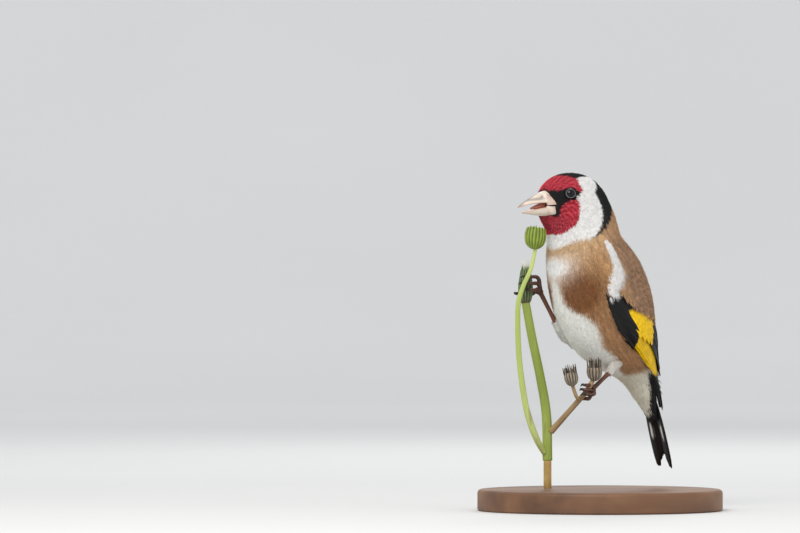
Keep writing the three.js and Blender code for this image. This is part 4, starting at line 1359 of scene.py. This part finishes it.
def tilted(verts, lean):
    """Vertices turned about X and then Y by two angles in radians."""
    cx, sx, cy, sy = math.cos(lean[0]), math.sin(lean[0]), math.cos(lean[1]), math.sin(lean[1])
    x, y, z = verts.T
    y, z = y * cx - z * sx, y * sx + z * cx
    return np.stack([x * cy + z * sy, y, z * cy - x * sy], -1)


def build_perch():
    green = plant(
        "stem_green",
        (0.3, srgb(84, 104, 36)),
        (0.5, srgb(128, 146, 56)),
        (0.62, srgb(150, 164, 74)),
        (0.7, srgb(104, 84, 48)),
    )
    light_green = plant(
        "twig_green",
        (0.3, srgb(140, 160, 70)),
        (0.5, srgb(172, 186, 100)),
        (0.66, srgb(190, 200, 124)),
        (0.74, srgb(128, 112, 70)),
    )
    dry = plant("stalk_dry", (0.3, srgb(124, 96, 66)), (0.55, srgb(168, 140, 100)), (0.7, srgb(134, 104, 74)))
    bract = tinted("bracts", spread=0.35, scale=500, roughness=0.6)
    dried = tinted("dried", spread=0.35, scale=700, roughness=0.8)

    for name, line, radii, ribs, look, slot in (
        ("perch_stem", STEM_LINE, STEM_RADII, 10, green, "stem"),
        ("perch_twig", TWIG_LINE, TWIG_RADII, 6, light_green, "twig"),
        ("perch_stalk", STALK_LINE, STALK_RADII, 7, dry, "stalk"),
        ("perch_side_stalk", SIDE_STALK_LINE, SIDE_STALK_RADII, 5, dry, "stalk"),
    ):
        rings = ribbed(tube(line, radii, 140, 48), ribs, 0.1)
        make(f"{name}_ribbed", *capped(rings), None, look, slot, [name])

    profile = [
        [0.05, -6.6], [1.1, -6.4], [2.2, -4.6], [2.75, -2], [2.75, 1],
        [2.3, 4], [1.9, 6.4], [1.2, 6.9], [0.1, 6.6],
    ]
    verts, faces, colours = pod(profile, 60, 104, 13, 0.16, srgb(30, 44, 26), srgb(116, 134, 84))
    colours = mix(colours, srgb(96, 70, 44), 0.7 * (1 - step(verts[:, 2], -6.2, -3)))
    parts = [(verts, faces, colours)]
    bracts, down = [srgb(120, 138, 84), srgb(70, 88, 50)], [srgb(236, 232, 222)]
    parts += bristles(13, 5.4, 8.2, (0.45, 0.36, 0.12), bracts, out=(1.7, 1.9))
    parts += bristles(26, 5.8, 10.4, (0.1, 0.09, 0.05), down, out=(1.2, 1.7), sides=5)
    verts, faces, colours = together(parts)
    make("bud_ribbed", verts + LEGS["right"]["grip"], faces, colours, bract, "bud", ["perch_bud"])

    profile = [
        [0.05, -4.1], [1.6, -3.8], [3.4, -2.2], [4.05, 0.3], [3.9, 2.6], [3.3, 3.9], [1.6, 3.6], [0.05, 3.2],
    ]
    parts = [pod(profile, 60, 126, 18, 0.08, srgb(78, 98, 26), srgb(150, 170, 54))]
    bracts = [srgb(150, 168, 60), srgb(120, 142, 44)]
    parts += bristles(18, 1.6, 4.7, (0.55, 0.45, 0.12), bracts, out=(3.6, 3.3))
    verts, faces, colours = together(parts)
    verts = tilted(verts, (0, 0.12)) + ROUND_BUD_PLACE
    make("round_bud_ribbed", verts, faces, colours, bract, "round_bud", ["perch_round_bud"])

    profile = [[0.05, -3.7], [0.9, -3.5], [2.4, -2.2], [2.95, 0], [2.6, 1.6], [1.2, 1.5], [0.05, 1.4]]
    browns = [srgb(70, 58, 50), srgb(150, 136, 118), srgb(50, 40, 36), srgb(112, 98, 84)]
    for name, (place, size, lean) in SEED_HEADS.items():
        parts = [pod(profile, 40, 78, 13, 0.14, srgb(52, 42, 36), srgb(160, 146, 126))]
        parts += bristles(26, -0.4, 5.4, (0.34, 0.3, 0.1), browns, out=(2.4, 2.9))
        verts, faces, colours = together(parts)
        verts = tilted(verts * size, lean) + place
        make(f"{name}_dry", verts, faces, colours, dried, "seed_head", [name])


def dress_stand():
    wood = Look("stand_wood", roughness=0.55)
    grain = wood.noise(60, detail=6, stretch=(0.12, 1, 1))
    wood.paint(wood.ramp(grain, (0.3, srgb(84, 56, 38)), (0.5, srgb(116, 80, 54)), (0.7, srgb(138, 100, 68))))
    wood.bump(wood.noise(240, detail=4, stretch=(0.1, 1, 1)), 0.2, 0.2)
    bevel = np.radians(np.linspace(0, 90, 8))
    edge = np.stack(
        [BASE_RADIUS - BASE_BEVEL * (1 - np.cos(bevel)), BASE_HEIGHT - BASE_BEVEL * (1 - np.sin(bevel))], -1
    )
    outline = np.vstack([[0.05, 0], [BASE_RADIUS - 0.6, 0], [BASE_RADIUS, 0.6], edge, [0.05, BASE_HEIGHT]])
    rings = rounded(*outline.T, 180)
    base = make("stand_base_turned", *capped(rings), None, wood, "stand_wood", ["stand_base"])
    base.data.set_sharp_from_angle(angle=math.radians(30))
    brass = Look("stand_metal", roughness=0.3, metallic=1.0)
    brass.paint(brass.ramp(brass.noise(200), (0.3, srgb(176, 140, 84)), (0.7, srgb(206, 172, 112))))
    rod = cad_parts["stand_rod"]
    rod.data.materials.clear()
    rod.data.materials.append(brass.material)


# Floor, light and camera

CAMERA_AZIMUTH = math.radians(-32)
MM_PER_PIXEL = 0.375
PICTURE_WIDTH = 800
AIM = (-75.0, 91.5)
DISTANCE = 2500.0
# The floor bends up into a backdrop, far enough behind for a camera on any side
FLOOR_FRONT = 3000
BEND_START = -2000
BEND_RADIUS = 1300
BACKDROP_TOP = 5000
FLOOR_HALF_WIDTH = 3600
# Painted light: the floor's paper darkens towards the bird, where the lamps shine brightest, and is paler far
# off, where their light falls away; how far in metres the shading reaches
SHADING_REACH = 4.0


def view_axes():
    """The level directions to the camera's right, and from the bird back to the camera."""
    a = CAMERA_AZIMUTH
    return Vector((math.cos(a), math.sin(a), 0)), Vector((math.sin(a), -math.cos(a), 0))


def build_stage():
    paper = Look("paper", roughness=0.9, specular=0.1)
    place = paper.nodes.new("ShaderNodeTexCoord")
    far = paper.nodes.new("ShaderNodeVectorMath")
    far.operation = "LENGTH"
    paper.links.new(place.outputs["Object"], far.inputs[0])
    reach = paper.nodes.new("ShaderNodeMath")
    reach.operation = "DIVIDE"
    reach.inputs[1].default_value = SHADING_REACH
    paper.links.new(far.outputs["Value"], reach.inputs[0])
    # Painted light: darker paper near the bird, paler far away
    pale = paper.ramp(reach.outputs["Value"], (0.08, (0.74, 0.74, 0.73)), (0.4, (0.94, 0.94, 0.935)))
    grain = paper.ramp(paper.noise(3), (0.3, (0.97, 0.97, 0.97)), (0.7, (1, 1, 1)))
    paper.paint(paper.product(pale, grain))
    right, back = view_axes()
    rows = [(depth, 0) for depth in np.linspace(FLOOR_FRONT, BEND_START, 5)]
    for turn in np.linspace(0, math.pi / 2, 37)[1:]:
        rows.append((BEND_START - BEND_RADIUS * math.sin(turn), BEND_RADIUS * (1 - math.cos(turn))))
    rows.append((BEND_START - BEND_RADIUS, BACKDROP_TOP))
    verts = []
    for depth, height in rows:
        for across in (-FLOOR_HALF_WIDTH, FLOOR_HALF_WIDTH):
            p = back * depth + right * across
            verts.append((p.x * MM, p.y * MM, height * MM))
    faces = [(2 * k, 2 * k + 1, 2 * k + 3, 2 * k + 2) for k in range(len(rows) - 1)]
    mesh = bpy.data.meshes.new("floor")
    mesh.from_pydata(verts, [], faces)
    mesh.materials.append(paper.material)
    floor = bpy.data.objects.new("floor", mesh)
    for polygon in mesh.polygons:
        polygon.use_smooth = True
    bpy.context.collection.objects.link(floor)


def light(name, direction, distance, size, power, colour=(1, 1, 1)):
    lamp = bpy.data.lights.new(name, "AREA")
    lamp.shape = "DISK"
    lamp.size = size
    lamp.energy = power
    lamp.color = colour
    holder = bpy.data.objects.new(name, lamp)
    aim = Vector((-0.005, 0, 0.085))
    holder.location = aim + Vector(direction).normalized() * distance
    holder.rotation_euler = (aim - holder.location).to_track_quat("-Z", "Y").to_euler()
    bpy.context.collection.objects.link(holder)


def build_lights():
    light("key", (-0.9, -0.75, 1.0), 0.9, 0.5, 5.0, (1.0, 0.98, 0.95))
    light("fill", (0.6, -1.0, 0.25), 1.1, 0.8, 1.0, (0.93, 0.96, 1.0))
    light("rim", (0.7, 0.9, 0.9), 1.0, 0.5, 2.2)
    world = bpy.data.worlds.new("studio")
    world.use_nodes = True
    sky = world.node_tree.nodes["Background"]
    sky.inputs["Color"].default_value = (0.96, 0.98, 1.0, 1)
    sky.inputs["Strength"].default_value = 0.72
    bpy.context.scene.world = world
    bpy.context.scene.view_settings.view_transform = "Standard"


def build_camera():
    across, height = AIM
    right, back = view_axes()
    lens = bpy.data.cameras.new("camera")
    lens.sensor_width = 36
    lens.lens = lens.sensor_width * DISTANCE / (PICTURE_WIDTH * MM_PER_PIXEL)
    lens.clip_end = 100
    holder = bpy.data.objects.new("camera", lens)
    target = (right * across + Vector((0, 0, height))) * MM
    holder.location = target + back * DISTANCE * MM
    holder.rotation_euler = (-back).to_track_quat("-Z", "Y").to_euler()
    bpy.context.collection.objects.link(holder)
    bpy.context.scene.camera = holder


build_skin()
build_legs()
build_bill()
build_eyes()
build_coat()
build_fringe()
build_thigh_coats()
build_wings()
build_tail()
build_perch()
dress_stand()
build_stage()
build_lights()
build_camera()
